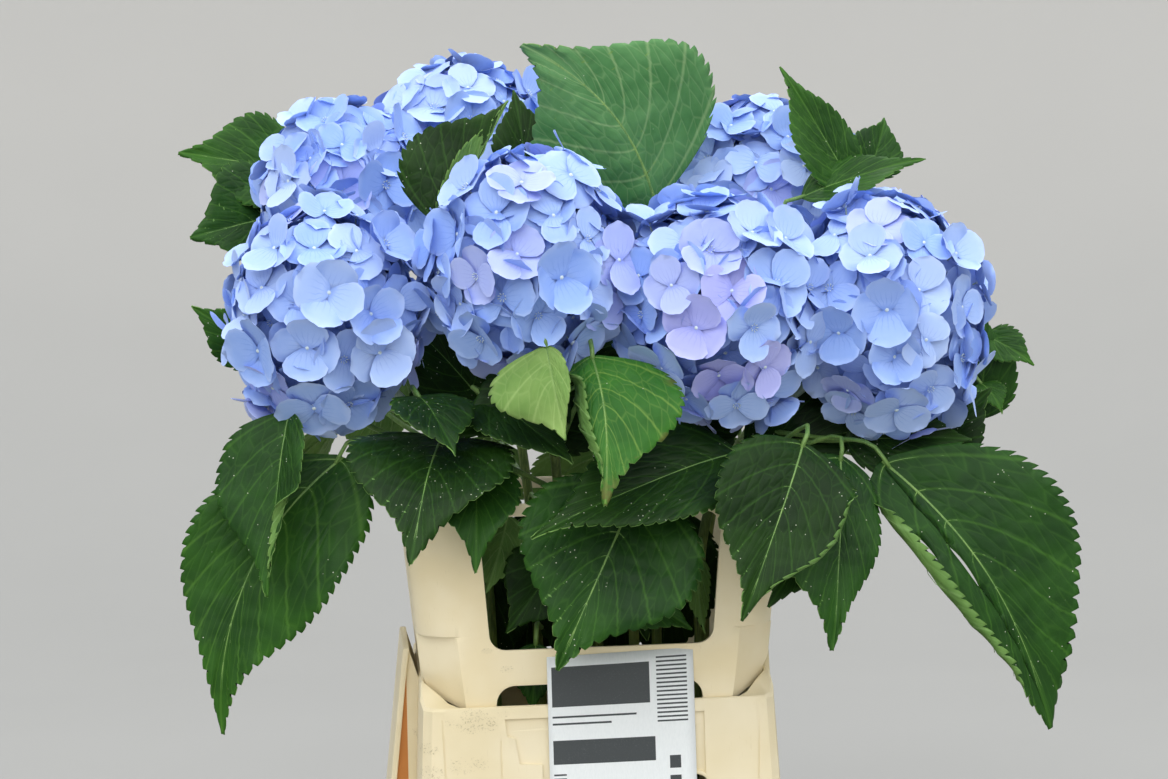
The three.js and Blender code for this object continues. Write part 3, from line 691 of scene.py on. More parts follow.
def fibre_material(name, dark, light, streak_mm=1.2, pore="5A4A2C"):
    """Green plant fibre, as on stalks, veins and stems: lengthwise streaks over a smooth waxy skin."""
    made, add, place = material(name, 0.5)
    streaks = noise(add, place, streak_mm, 3, 0.6, (1, 1, 0.08))
    both = add("MULTIPLY", add("ADD", streaks, noise(add, place, 18)), 0.5)
    tone = add("Mix", add("MapRange", both, 0.35, 0.65), linear(dark), linear(light))
    # Raised pores about 1 mm long.
    pores = add("TexVoronoi", {"Vector": place, "Scale": 1 / (4.5 * MM)}, out="Distance")
    pores = add("MapRange", pores, 0.16, 0.08)
    spotted = add("Mix", add("MULTIPLY", pores, 0.35), tone, linear(pore))
    return finish(made, spotted, add("ADD", streaks, pores), 0.3)


def plastic_material(name, body, shade, patches):
    """Cream polypropylene, injection moulded: faintly cloudy, satin, with a fine grain, hairline
    scratches from use, and specks of dried soil in a few patches."""
    made, add, place = material(name, 0.48, 0.4)
    cloud = add("MapRange", noise(add, place, 60, 3), 0.3, 0.7)
    tone = add("Mix", cloud, linear(body), linear(shade))
    scratches = add("MapRange", noise(add, place, 1.4, 2, 0.7, (1, 1, 0.05)), 0.68, 0.74)
    worn = add("Mix", add("MULTIPLY", scratches, 0.2), tone, linear("C9B88F"))
    # Each patch is twice as wide as it is high and fades out at its reach; its specks are about 1 mm.
    flat = add("VectorMath", place, (1, 0, 2), operation="MULTIPLY")
    wander = noise(add, place, 14, 3)
    soiled = add("MULTIPLY", wander, 0.06)
    for x, z, reach in patches:
        away = add("VectorMath", flat, (x * MM, 0, 2 * z * MM), operation="DISTANCE")
        near = add("MapRange", away, reach * MM, 0.3 * reach * MM)
        soiled = add("MAXIMUM", soiled, add("MULTIPLY", near, wander))
    grains = add("MapRange", noise(add, place, 1.5, 5, 0.75), 0.56, 0.6)
    smear = add("MULTIPLY", add("MapRange", soiled, 0.35, 0.65), 0.1)
    soil = add("MULTIPLY", add("MULTIPLY", add("MapRange", soiled, 0.3, 0.5), grains), 0.7)
    soil = add("MAXIMUM", soil, smear)
    dirty = add("Mix", soil, worn, linear("A89A74"))
    gloss = add("ADD", 0.4, add("MULTIPLY", noise(add, place, 9, 3), 0.2))
    return finish(made, dirty, add("ADD", noise(add, place, 0.9), soil), 0.08, 0.6, gloss)


def eye_material():
    """The bud and stamens at a floret's heart: waxy, pale greenish white."""
    made, add, place = material("waxy_flower_heart", 0.45)
    tone = add("Mix", noise(add, place, 1.5), linear("DDE8E4"), linear("B9CFDD"))
    return finish(made, tone, noise(add, place, 0.8), 0.2)


def paper_material():
    """Smooth coated white card, cut from a printed sheet: nearly flat, with faint fibres."""
    made, add, place = material("coated_white_card", 0.5)
    fibres = noise(add, place, 1.1, 3, 0.6, (1, 1, 0.3))
    tone = add("Mix", add("MapRange", fibres, 0.3, 0.8), linear("E9EDEE"), linear("E3E8E9"))
    return finish(made, tone, fibres, 0.03, 0.4)


def ink_material():
    """Thermal print on card: dark grey, slightly glossy, with fine gaps where it didn't take."""
    made, add, place = material("thermal_print_ink", 0.42)
    gaps = add("MapRange", noise(add, place, 0.7), 0.6, 0.75)
    tone = add("Mix", add("MULTIPLY", gaps, 0.3), linear("3E4345"), linear("7B8082"))
    return finish(made, tone, gaps, 0.02, 0.3)


def floor_material():
    """Matt painted studio floor, pale grey."""
    made, add, place = material("matt_studio_paint", 0.95, 0.1)
    height = add("SeparateXYZ", place, out="Z")
    paint = add("Mix", add("MapRange", height, 0.0, 1.2), linear("9E9E9C"), linear("AAA9A6"))
    return finish(made, add("Mix", add("MULTIPLY", noise(add, place, 400), 0.1), paint, linear("C6C5C2")))


# Soil and scuffs on the front: x, z and reach of each patch, in millimetres.
BUCKET_SOIL = [(-92, 214, 34), (-70, 219, 10), (-124, 196, 16), (-122, 178, 20), (-96, 184, 26),
               (60, 205, 14)]
COLLAR_SOIL = [(-66, 250, 10), (-80, 264, 8)]
PLASTIC = plastic_material("moulded_cream_polypropylene", "EBDFC0", "E3D5B0", BUCKET_SOIL)
COLLAR_PLASTIC = plastic_material("clean_cream_polypropylene", "F4E7C6", "ECDCB4", COLLAR_SOIL)
# Painted light: the amber webs in the slits paint the glow of light shining through the plastic.
SLIT_GLOW_PAINT = plastic_material("aged_amber_polypropylene", "D08A48", "B87434", [])
STEM_SKIN = fibre_material("green_stem_skin", "47602A", "7C9148")
VEIN_SKIN = fibre_material("pale_vein_fibre", "4C7434", "7A9C50", 0.8, "8FAE62")
STALK_SKIN = fibre_material("pale_flower_stalk", "8FA9A0", "B9CDB8", 0.8)
LEAF_SKINS = {
    "deep": leaf_material("waxy_leaf_deep_green", "10270A", "203F0E", "3E6824", 0.5, 0.58),
    "mid": leaf_material("waxy_leaf_green", "163412", "2A5418", "4C7A2A", 0.5, 0.34),
    "fresh": leaf_material("waxy_leaf_fresh_green", "1A3C12", "32601A", "5A8832", 0.5, 0.1),
    "dull": leaf_material("matt_leaf_dull_green", "3A6A3A", "5E8C58", "9DB582", 0.6, 0.1),
    "light": leaf_material("waxy_leaf_light_green", "26561C", "427A2A", "8CAA50", 0.5, 0.12, 0.8),
    "pale": leaf_material("downy_leaf_pale_green", "628542", "86A25C", "A6BC7A", 0.7, 0.0),
}
LEAF_UNDER = leaf_material("downy_leaf_underside", "4C7036", "6B8E49", "8AAE70", 0.65, 0.0)
PETALS = {name: petal_material("sepal_" + name, colours) for name, colours in TINTS.items()}
EYE = eye_material()


# Leaves.


def blade_width(s):
    """The blade's half width at a share of its length, as a share of the greatest."""
    return np.interp(s, BLADE_TABLE[0], BLADE_TABLE[1])


def smooth_table(shape, steps, reach):
    """An outline as a fine table, with its corners rounded off over a reach of steps."""
    s = np.linspace(0, 1, steps)
    width = np.interp(s, *zip(*shape))
    padded = np.concatenate([np.full(reach, width[0]), width, np.full(reach, width[-1])])
    kernel = np.hanning(2 * reach + 3)[1:-1]
    return s, np.convolve(padded, kernel / kernel.sum(), mode="valid")


# The blade's outline: broad near its base, with a drawn-out tip.
BLADE_SHAPE = [(0, 0.03), (0.03, 0.38), (0.09, 0.68), (0.2, 0.92), (0.34, 1.0), (0.47, 0.97), (0.58, 0.83),
               (0.68, 0.58), (0.77, 0.33), (0.86, 0.16), (0.94, 0.07), (1, 0.01)]
BLADE_TABLE = smooth_table(BLADE_SHAPE, 401, 13)


class Blade:
    """The curved sheet of one leaf, read at any share along it and any share of its half width."""

    LENGTH_STEPS = np.linspace(0, 1, 61)
    WIDTH_STEPS = np.linspace(-1.2, 1.2, 49)

    def __init__(self, spec, random):
        self.spec = spec
        self.base = np.array(spec["base"], float)
        self.tip = np.array(spec["tip"], float)
        self.along = unit(self.tip - self.base)
        self.face = square_to(spec["face"], self.along)
        self.across = np.cross(self.along, self.face)
        self.length = float(np.linalg.norm(self.tip - self.base))
        self.half = spec["width"] / 2
        self.waves = random.uniform(0, 2 * math.pi, 4)
        self.grid = self.make_grid()
        lengthwise = np.gradient(self.grid, axis=0)
        sideways = np.gradient(self.grid, axis=1)
        self.normals = unit(np.cross(sideways + 1e-6 * self.across, lengthwise + 1e-6 * self.along))
        self.veins = self.vein_ends()

    def make_grid(self):
        s = self.LENGTH_STEPS[:, None]
        u = self.WIDTH_STEPS[None, :]
        fuller = self.spec["full"] * np.exp(-(((s - 0.8) / 0.12) ** 2))
        half = self.half * np.maximum(blade_width(s) + fuller, 0.02)
        half = half * np.where(u < 0, self.spec["halves"][0], self.spec["halves"][1])
        fold = np.where(u < 0, self.spec["fold"][0], self.spec["fold"][1]) * ramp(np.abs(u), 0.0, 0.25)
        turn = np.radians(fold * 1.1 + 0 * s)
        if self.spec["curl"]:
            side, start, degrees, low, high = self.spec["curl"]
            window = ramp(s, low - 0.08, low + 0.12) * (1 - ramp(s, high - 0.05, high + 0.15))
            turn = turn + np.radians(degrees) * window * ramp(u * side, start, start + 0.16)
        middle = len(self.WIDTH_STEPS) // 2
        step = self.WIDTH_STEPS[1] - self.WIDTH_STEPS[0]

        def outwards(steps):
            """Running sums of steps from the midrib out to both margins."""
            sums = np.cumsum(steps * (u > 0), axis=1) + np.cumsum((steps * (u < 0))[:, ::-1], axis=1)[:, ::-1]
            return sums - sums[:, middle : middle + 1]

        sideways = outwards(np.sign(u) * np.cos(turn) * step)
        lifted = outwards(np.sin(turn) * step)
        bow = 4 * s * (1 - s)
        size = self.half / USUAL_HALF
        ripple = np.where(u < 0, np.sin(15 * s + self.waves[0]), np.sin(14 * s + self.waves[1]))
        ripple = ripple * RIPPLE * size * np.abs(u) ** 2 * ramp(s, 0.0, 0.2)
        dip = DIP * size * np.sin(7 * s + self.waves[2]) * bow
        place = self.base + self.length * s[..., None] * self.along
        place = place + (bow * self.spec["sweep"] + half * sideways)[..., None] * self.across
        return place + (bow * self.spec["arch"] + half * lifted + ripple + dip)[..., None] * self.face

    def vein_ends(self):
        pairs = VEIN_PAIRS if self.length > SHORT_LEAF else VEIN_PAIRS - 2
        t = np.linspace(0, 1, pairs)
        start = VEIN_START[0] + (VEIN_START[1] - VEIN_START[0]) * t
        end = VEIN_END[0] + (VEIN_END[1] - VEIN_END[0]) * t**0.6
        return np.column_stack([start, end, blade_width(end)])

    def read(self, table, s, u):
        """The table's value at shares s and u, between its nearest entries."""
        row = np.clip(np.asarray(s) * (len(self.LENGTH_STEPS) - 1), 0, len(self.LENGTH_STEPS) - 1.001)
        span = self.WIDTH_STEPS[-1] - self.WIDTH_STEPS[0]
        column = (np.asarray(u) - self.WIDTH_STEPS[0]) / span * (len(self.WIDTH_STEPS) - 1)
        column = np.clip(column, 0, len(self.WIDTH_STEPS) - 1.001)
        r, c = row.astype(int), column.astype(int)
        a, b = (row - r)[..., None], (column - c)[..., None]
        low = table[r, c] * (1 - b) + table[r, c + 1] * b
        high = table[r + 1, c] * (1 - b) + table[r + 1, c + 1] * b
        return low * (1 - a) + high * a

    def phase(self, s, off):
        """How many side veins lie before a point, with a fraction for its place between two of them."""
        start, end, reach = self.veins.T
        lines = start + (end - start) * (off[..., None] / reach) ** VEIN_BEND
        ends = [np.full(off.shape + (1,), end) for end in (-0.12, 1.25)]
        lines = np.concatenate([ends[0], lines, ends[1]], axis=-1)
        count = (s[..., None] >= lines).sum(axis=-1)
        count = np.clip(count, 1, lines.shape[-1] - 1)
        low = np.take_along_axis(lines, (count - 1)[..., None], -1)[..., 0]
        high = np.take_along_axis(lines, count[..., None], -1)[..., 0]
        return count + np.clip((s - low) / np.maximum(high - low, 1e-4), 0, 0.999)

    def relief(self, s, u):
        """The quilting between the veins: how far the blade bulges towards its upper face."""
        off = np.abs(u) * blade_width(s)
        fraction = self.phase(s, off) % 1
        bulge = 1 - np.abs(2 * fraction - 1) ** 2.4
        rib = ramp(off, 0.0, 0.12)
        edge = 1 - ramp(np.abs(u), 0.82, 1.0)
        return QUILTING * (self.half / USUAL_HALF) * bulge * rib * edge * ramp(s, 0.0, 0.1)

    def places(self, s, u, lift=0.0):
        """The points of the quilted blade, lifted out of its middle sheet."""
        raised = self.relief(s, u) + lift
        return self.read(self.grid, s, u) + raised[..., None] * self.read(self.normals, s, u)


def blade_rows(blade):
    """Shares along the blade for its rows, and how far each row's margin stands out in a tooth."""
    teeth = max(9, round(0.93 * blade.length / TOOTH))
    rows = [(0.001, 0), (0.006, 0), (0.014, 0), (0.026, 0), (0.04, 0)]
    for k in range(teeth):
        for part, out in TOOTH_SHAPE:
            rows.append((0.05 + 0.93 * (k + part) / teeth, out))
    rows += [(0.985, 0), (0.998, 0)]
    return np.array(rows)


BLADE_COLUMNS = np.array([-1, -0.93, -0.82, -0.66, -0.5, -0.34, -0.2, -0.08, 0])
BLADE_COLUMNS = np.concatenate([BLADE_COLUMNS, -BLADE_COLUMNS[-2::-1]])
TEAR_HALF = 0.022


def slit_columns(blade):
    """The blade's columns, with two close ones for each of its tears, and where those two stand."""
    columns = list(BLADE_COLUMNS)
    for middle, _, _ in blade.spec["tears"]:
        columns += [middle - TEAR_HALF, middle + TEAR_HALF]
    return np.array(sorted(columns))


def torn(blade, s, u):
    """Whether a point lies in one of the blade's tears."""
    return any(low < s < high and abs(u - middle) < TEAR_HALF for middle, low, high in blade.spec["tears"])


def taper_tears(blade, s, u):
    """Draws each tear's two sides together towards its ends, and quite together past them."""
    for middle, low, high in blade.spec["tears"]:
        beside = np.abs(np.abs(u - middle) - TEAR_HALF) < 1e-6
        along = (s - (low + high) / 2) / ((high - low) / 2)
        width = np.sqrt(np.clip(1 - along**2, 0.02, 1))
        u = np.where(beside, middle + (u - middle) * width, u)
    return u


def add_blade(heap, blade):
    """The leaf's sheet, with an upper and a lower skin, a toothed margin and its tears left open."""
    rows = blade_rows(blade)
    columns = slit_columns(blade)
    s = np.repeat(rows[:, :1], len(columns), axis=1)
    u = np.repeat(columns[None, :], len(rows), axis=0)
    strength = ramp(s, 0.03, 0.12) * (1 - 0.6 * ramp(s, 0.85, 1.0))
    tooth = TOOTH_HEIGHT * np.clip(blade.half / USUAL_HALF, 0.6, 1.15) * rows[:, 1:] * strength
    half = blade.half * np.maximum(blade_width(s), 0.02)
    u = taper_tears(blade, s, u)
    margin = np.abs(u) > 0.99
    u = np.where(margin, u * (1 + tooth / half), u)
    s = np.where(margin, s + 0.5 * np.maximum(tooth, 0) / blade.length, s)
    upper = blade.places(s, u, LEAF_THICK / 2)
    lower = blade.places(s, u, -LEAF_THICK / 2)
    off = np.abs(u) * blade_width(s)
    maps = np.stack([blade.phase(s, off), off * blade.half / 5, u, s], axis=-1).reshape(-1, 4)
    count = len(columns)
    kept = []
    for face in grid_faces(len(rows), count):
        r, c = divmod(min(face), count)
        cell = (slice(r, r + 2), slice(c, c + 2))
        if not torn(blade, s[cell].mean(), u[cell].mean()):
            kept.append(face)
    add_sheet(heap, upper.reshape(-1, 3), lower.reshape(-1, 3), kept, maps)


def add_veins(heap, blade):
    """The midrib and the side veins, as slim ridges that stand out of both skins."""
    size = np.clip(blade.half / USUAL_HALF, 0.5, 1.2)
    s = np.linspace(0.002, 0.97, 26)
    line = blade.places(s, 0 * s)
    faces = blade.read(blade.normals, s, 0 * s)
    tube(heap, line, np.linspace(*MIDRIB_RADIUS, len(s)) * size, 4, 0.75, faces)
    for side in (-1, 1):
        for start, end, reach in blade.veins:
            off = np.linspace(0.0, 0.93, 12) * reach
            s = start + (end - start) * (off / reach) ** VEIN_BEND
            u = side * off / np.maximum(blade_width(s), 0.05)
            inside = np.abs(u) < 0.96
            s, u = s[inside], u[inside]
            if len(s) < 3:
                continue
            line = blade.places(s, u)
            faces = blade.read(blade.normals, s, u)
            tube(heap, line, np.linspace(*SIDE_VEIN_RADIUS, len(s)) * size, 4, 1.25, faces)


def add_stalk(heap, root, blade):
    """The leaf stalk, from its root in the shoot, bending into the line of the blade."""
    start = np.array(root, float)
    reach = np.linalg.norm(blade.base - start)
    end = blade.places(np.array(0.03), np.array(0.0))
    bend = blade.base - blade.along * min(0.35 * reach, 14)
    line = spline([start, start + (bend - start) * 0.55, bend, end], 14)
    tube(heap, line, np.linspace(*STALK_RADIUS, len(line)), 8, 0.85)


# Heads.


def sepal(kind, turn, random):
    """One broad sepal as a grid of points, in the floret's frame, with its heart at the origin."""
    rows = np.array(SEPAL_ROWS)
    v = np.repeat(rows[:, :1], len(SEPAL_COLUMNS), axis=1)
    u = np.repeat(np.array(SEPAL_COLUMNS)[None, :], len(rows), axis=0)
    broad = random.uniform(0.92, 1.12) * kind["broad"]
    x = u * rows[:, 1:] * FLORET_RADIUS * SEPAL["half"] * broad
    wave = 0.02 * np.sin(3.5 * u + random.uniform(0, 6)) * v**3
    drawn_back = SEPAL["drawn_back"] * u**2 * v**2
    y = FLORET_RADIUS * (v - drawn_back + wave) * random.uniform(0.92, 1.05)
    cup = kind["cup"] * random.uniform(0.7, 1.3)
    ruffle = random.uniform(-1, 1) * np.sin(3.2 * u + 4 * v + random.uniform(0, 6))
    z = cup * v**1.6 + 0.5 * kind["fold"] * np.abs(u) * v + SEPAL["ruffle"] * ruffle * v**2
    z = z - SEPAL["valley"] * np.exp(-((u / 0.4) ** 2)) * v * (1 - v)
    tilt = kind["lifts"][turn] * ramp(v, 0.0, 0.5)
    y, z = y * np.cos(tilt), z + y * np.sin(tilt)
    lean = random.uniform(-0.14, 0.2) * x
    upper = turn % 2
    z = z + lean + UPPER_LIFT * upper
    angle = turn * math.pi / 2 + random.uniform(-0.12, 0.12)
    c, d = math.cos(angle), math.sin(angle)
    points = np.stack([x * c - y * d, x * d + y * c, z], -1)
    # The first channel marks the upper sepals; from it the material paints shade on the lower sepals' sides.
    maps = np.stack([0 * u + upper, v, u, v], -1)
    return points.reshape(-1, 3), maps.reshape(-1, 4)


# Floret shapes: wide open, cupped, one sepal turned up, bent back, half closed, and a slim one.
FLORET_KINDS = [
    {"broad": 0.94, "cup": 1.8, "fold": 1.0, "lifts": (0, 0.08, 0.02, 0.12)},
    {"broad": 1.0, "cup": 3.6, "fold": 1.6, "lifts": (0.12, 0.22, 0.1, 0.2)},
    {"broad": 0.93, "cup": 2.2, "fold": 0.8, "lifts": (0.0, 0.5, 0.05, 0.12)},
    {"broad": 0.97, "cup": -2.4, "fold": -0.8, "lifts": (-0.08, 0.02, -0.12, 0.06)},
    {"broad": 0.96, "cup": 3.6, "fold": 2.2, "lifts": (0.4, 0.32, 0.48, 0.28)},
    {"broad": 0.84, "cup": 1.0, "fold": 1.2, "lifts": (0.1, 0.15, 0.3, 0.04)},
]


def floret_shapes(random):
    """A collection with one mesh for each kind of floret."""
    shapes = bpy.data.collections.new("floret_shapes")
    for index, kind in enumerate(FLORET_KINDS):
        heap = Heap()
        for turn in (0, 2, 1, 3):
            points, maps = sepal(kind, turn, random)
            heap.add(points, grid_faces(len(SEPAL_ROWS), len(SEPAL_COLUMNS)), 0, maps)
        shapes.objects.link(take_out(heap.build(f"floret_{index}", [PETALS["sky"]])))
    return shapes


def heart_shapes():
    """A collection with the closed bud and the open star of stamens at a floret's heart."""
    shapes = bpy.data.collections.new("heart_shapes")
    bud = Heap()
    levels = [(-1.2, 1.0), (0.4, 2.0), (1.6, 1.8), (2.6, 0.8)]
    tube(bud, [(0, 0, level) for level, _ in levels], [radius for _, radius in levels], 6)
    shapes.objects.link(take_out(bud.build("heart_0", [EYE])))
    star = Heap()
    tube(star, [(0, 0, -1), (0, 0, 1.2), (0, 0, 1.8)], [1.1, 1.3, 0.6], 5)
    for k in range(8):
        angle = k * math.pi / 4 + 0.2
        out = np.array([math.cos(angle), math.sin(angle), 0])
        line = [out * 0.6 + (0, 0, 1.0), out * 2.0 + (0, 0, 2.4), out * 2.9 + (0, 0, 3.4)]
        tube(star, line, [0.3, 0.28, 0.55], 3)
    shapes.objects.link(take_out(star.build("heart_1", [EYE])))
    return shapes


def take_out(piece):
    """Takes an object out of the scene, to be used only as a shape that is repeated."""
    bpy.context.scene.collection.objects.unlink(piece)
    return piece


def floret_tree():
    """Geometry Nodes: puts a floret and its heart on each point, turned, sized and tinted by the point."""
    tree = bpy.data.node_groups.new("florets_on_points", "GeometryNodeTree")
    inputs = {"Geometry": "Geometry", "Florets": "Collection", "Hearts": "Collection", "Heart Size": "Float"}
    for name, kind in inputs.items():
        tree.interface.new_socket(name, in_out="INPUT", socket_type="NodeSocket" + kind)
    tree.interface.new_socket("Geometry", in_out="OUTPUT", socket_type="NodeSocketGeometry")
    add = partial(add_node, tree)
    start = add("NodeGroupInput").node.outputs

    def named(name, kind):
        return add("GeometryNodeInputNamedAttribute", name, data_type=kind)

    turn = add("FunctionNodeEulerToRotation", named("turn", "FLOAT_VECTOR"))
    size = named("size", "FLOAT")

    def instances(collection, pick, scale):
        shapes = add("GeometryNodeCollectionInfo", {"Collection": collection, "Separate Children": True})
        links = {"Points": start["Geometry"], "Instance": shapes, "Pick Instance": True}
        links.update({"Instance Index": pick, "Rotation": turn, "Scale": scale})
        return add("GeometryNodeRealizeInstances", add("GeometryNodeInstanceOnPoints", links))

    florets = instances(start["Florets"], named("kind", "INT"), size)
    tint = named("tint", "INT")
    for index, skin in enumerate(PETALS.values()):
        chosen = add("FunctionNodeCompare", tint, index, data_type="INT", operation="EQUAL")
        florets = add("GeometryNodeSetMaterial", florets, chosen, skin)
    hearts = instances(start["Hearts"], named("heart", "INT"), add("MULTIPLY", size, start["Heart Size"]))
    hearts = add("GeometryNodeSetMaterial", {"Geometry": hearts, "Material": EYE})
    joined = add("GeometryNodeJoinGeometry", hearts)
    tree.links.new(florets, joined.node.inputs[0])
    add("NodeGroupOutput", joined)
    return tree


def reach_along(half, direction):
    """How far a head's florets reach from its centre along a direction."""
    return 1 / np.linalg.norm(direction / np.array(half, float))


def past_neighbours(name, point):
    """How far a point lies past the plane between its head and the nearest neighbour, and the way there."""
    centre, half = HEADS[name]
    found = []
    for other, (place, size) in HEADS.items():
        if other == name:
            continue
        way = np.array(place, float) - centre
        distance = np.linalg.norm(way)
        way = way / distance
        own = reach_along(half, way)
        share = own / (own + reach_along(size, way))
        found.append((float(np.dot(point - centre, way)) - distance * share, tuple(way)))
    past, way = max(found)
    return past, np.array(way)


def head_points(name, random):
    """The places of a head's florets, with the way that each faces, its layer and its place on the head."""
    centre, half = HEADS[name]
    centre = np.array(centre, float)
    half = np.array(half, float)
    lean = unit((centre[0], centre[1], LEAN_HEIGHT))
    turn = Vector((0, 0, 1)).rotation_difference(Vector(lean)).to_matrix()
    golden = math.pi * (3 - math.sqrt(5))
    found = []
    for layer, rule in enumerate(LAYERS):
        for i in range(rule["count"]):
            level = 1 + (LOWEST - 1) * (i + 0.5) / rule["count"]
            ring = math.sqrt(1 - level * level)
            angle = i * golden + layer
            way = np.array(turn @ Vector((ring * math.cos(angle), ring * math.sin(angle), level)))
            way = unit(way + random.normal(0, SCATTER, 3))
            # Neighbours on the spiral stand at different depths, so they lie over each other.
            depth = rule["near"] + rule["spread"] * (i % 3 + 0.5 * random.random()) / 2.5
            place = centre + way * half * depth
            past, toward = past_neighbours(name, place)
            if past > MOST_PAST:
                continue
            # Beside a neighbour the florets turn outwards, so two heads meet in one surface.
            facing = unit(way / half)
            pressed = ramp(past, *TURNING_AWAY) * max(float(np.dot(facing, toward)), 0)
            facing = unit(facing - TURN_SHARE * pressed * toward)
            facing = unit(facing + rule["wobble"] * random.uniform(-0.5, 0.5, 3))
            found.append((place, facing, layer, rule["size"] * random.uniform(*FLORET_SIZES)))
    return found


def deal_tint(place, layer, random):
    """A floret's tint: darker deep inside a head, as painted shade, and some pink ones in one place."""
    names = list(PETALS)
    if layer > 0:
        return names.index("dusk" if random.random() < PAINTED_SHADE_SHARE else "clear")
    if math.dist(place, BLUSH["place"]) < BLUSH["reach"] and random.random() < BLUSH["share"]:
        return names.index("pink")
    return names.index(random.choice(list(TINT_SHARES), p=list(TINT_SHARES.values())))


def facing_turn(facing, spin):
    """Euler angles that turn a floret's own Z to the way that it faces."""
    swing = Vector((0, 0, 1)).rotation_difference(Vector(facing))
    return (swing.to_matrix().to_4x4() @ Matrix.Rotation(spin, 4, "Z")).to_euler()


def blossom(name, tree, florets, hearts, random):
    """One head's florets as a plain mesh."""
    found = head_points(name, random)
    mesh = bpy.data.meshes.new("blossom_" + name)
    mesh.from_pydata([tuple(place * MM) for place, *_ in found], [], [])
    turns = [facing_turn(facing, random.uniform(0, 6.3)) for _, facing, *_ in found]
    values = {
        "turn": ("FLOAT_VECTOR", "vector", np.ravel(turns)),
        "size": ("FLOAT", "value", [size for *_, size in found]),
        "kind": ("INT", "value", random.choice(len(KIND_SHARES), len(found), p=KIND_SHARES)),
        "heart": ("INT", "value", random.choice(len(HEART_SHARES), len(found), p=HEART_SHARES)),
        "tint": ("INT", "value", [deal_tint(place, layer, random) for place, _, layer, _ in found]),
        "shade": ("FLOAT", "value", random.random(len(found))),
    }
    for key, (kind, field, numbers) in values.items():
        mesh.attributes.new(key, kind, "POINT").data.foreach_set(field, numbers)
    piece = in_scene("blossom_" + name, mesh)
    modifier = piece.modifiers.new("florets", "NODES")
    modifier.node_group = tree
    sockets = {item.name: item.identifier for item in tree.interface.items_tree if item.in_out == "INPUT"}
    for socket, value in (("Florets", florets), ("Hearts", hearts), ("Heart Size", HEART_SIZE)):
        modifier[sockets[socket]] = value
    apply_modifiers(piece)
    piece.data.polygons.foreach_set("use_smooth", [True] * len(piece.data.polygons))
    return piece, found


def truss(heap, name, found):
    """The branched stalks inside a head, one slim stalk to each floret of the two outer layers."""
    line, end = stem_to(name)
    neck = [at_share(line, share) for share in np.linspace(end, 1 - HUB_DEPTH / length_of(line), 6)]
    tube(heap, neck, np.linspace(*NECK_RADIUS, len(neck)))
    hub = neck[-1]
    for place, facing, layer, _ in found:
        if layer > 1:
            continue
        foot = mix(hub, place, 0.12)
        # It comes up behind its floret.
        bend = mix(hub, place, 0.7) - facing * 3
        tube(heap, [foot, bend, place - facing * 0.3], FLORET_STALK, 3)


# Stems.


def add_stem(heap, name):
    """A bare stem: faintly ribbed, swollen at its leaf joints, cut flat at its foot."""
    line, end = stem_to(name)
    shares = np.linspace(0, end, 120)
    points = [at_share(line, share) for share in shares]
    away = np.abs(((shares * length_of(line) + JOINTS["shift"]) / JOINTS["spacing"]) % 1 - 0.5)
    radii = mix(*STEM_RADIUS, shares) * (1 + JOINTS["swell"] * np.exp(-((away / JOINTS["reach"]) ** 2)))
    tube(heap, points, radii, 14, ribs=0.03)


# The bucket, its collar and the card.


def towards(angle):
    return np.array([math.cos(angle), math.sin(angle)])


def rounded_ring(half, corner, steps=BUCKET["facets"], planed=False):
    """Points round a square with round or planed corners, in even steps on its flats and corners."""
    flats = 24
    points = []
    for quarter in range(4):
        start = quarter * math.pi / 2
        middle = towards(start + math.pi / 4) * (half - corner) * math.sqrt(2)
        for i in range(steps + 1):
            way = towards(start + i * math.pi / 2 / steps)
            if planed:
                x, y = towards(start)
                way = mix(np.array([x, y]), np.array([-y, x]), i / steps)
            points.append(middle + corner * way)
        last = points[-1]
        next_corner = 2 * towards(start + math.pi / 2) * half - last
        points += [last + (next_corner - last) * i / flats for i in range(1, flats)]
    return np.array(points)


def bucket_half(z):
    return mix(BUCKET["half_foot"], BUCKET["half_rim"], z / BUCKET["height"])


def collar_half(z):
    return mix(COLLAR["half_foot"], COLLAR["half_top"], (z - LEDGE["top"]) / (COLLAR["top"] - LEDGE["top"]))


def loft(name, rings, skin, closed=True):
    """A closed skin through rings of equal count; the last ring joins the first when closed."""
    heap = Heap()
    count = len(rings[0])
    last = (len(rings) - 1) * count
    faces = grid_faces(len(rings), count, closed=True)
    if closed:
        faces += [(last + c, last + (c + 1) % count, (c + 1) % count, c) for c in range(count)]
    else:
        faces += [tuple(range(count))[::-1], tuple(range(last, last + count))]
    heap.add(np.vstack(rings), faces)
    return heap.build(name, [skin], smooth=False)


def with_height(ring, z):
    return np.column_stack([ring, np.broadcast_to(z, len(ring))])


def ear(ring, z):
    """A ring of the bucket's wall at a level, raised towards its side walls."""
    share = np.clip((EAR["end"] - np.abs(ring[:, 1])) / (EAR["end"] - EAR["start"]), 0, 1)
    height = z + EAR["rise"] * share * np.clip((z - EAR["fade"]) / (BUCKET["height"] - EAR["fade"]), 0, 1)
    return with_height(ring * (bucket_half(height) / bucket_half(z))[:, None], height)


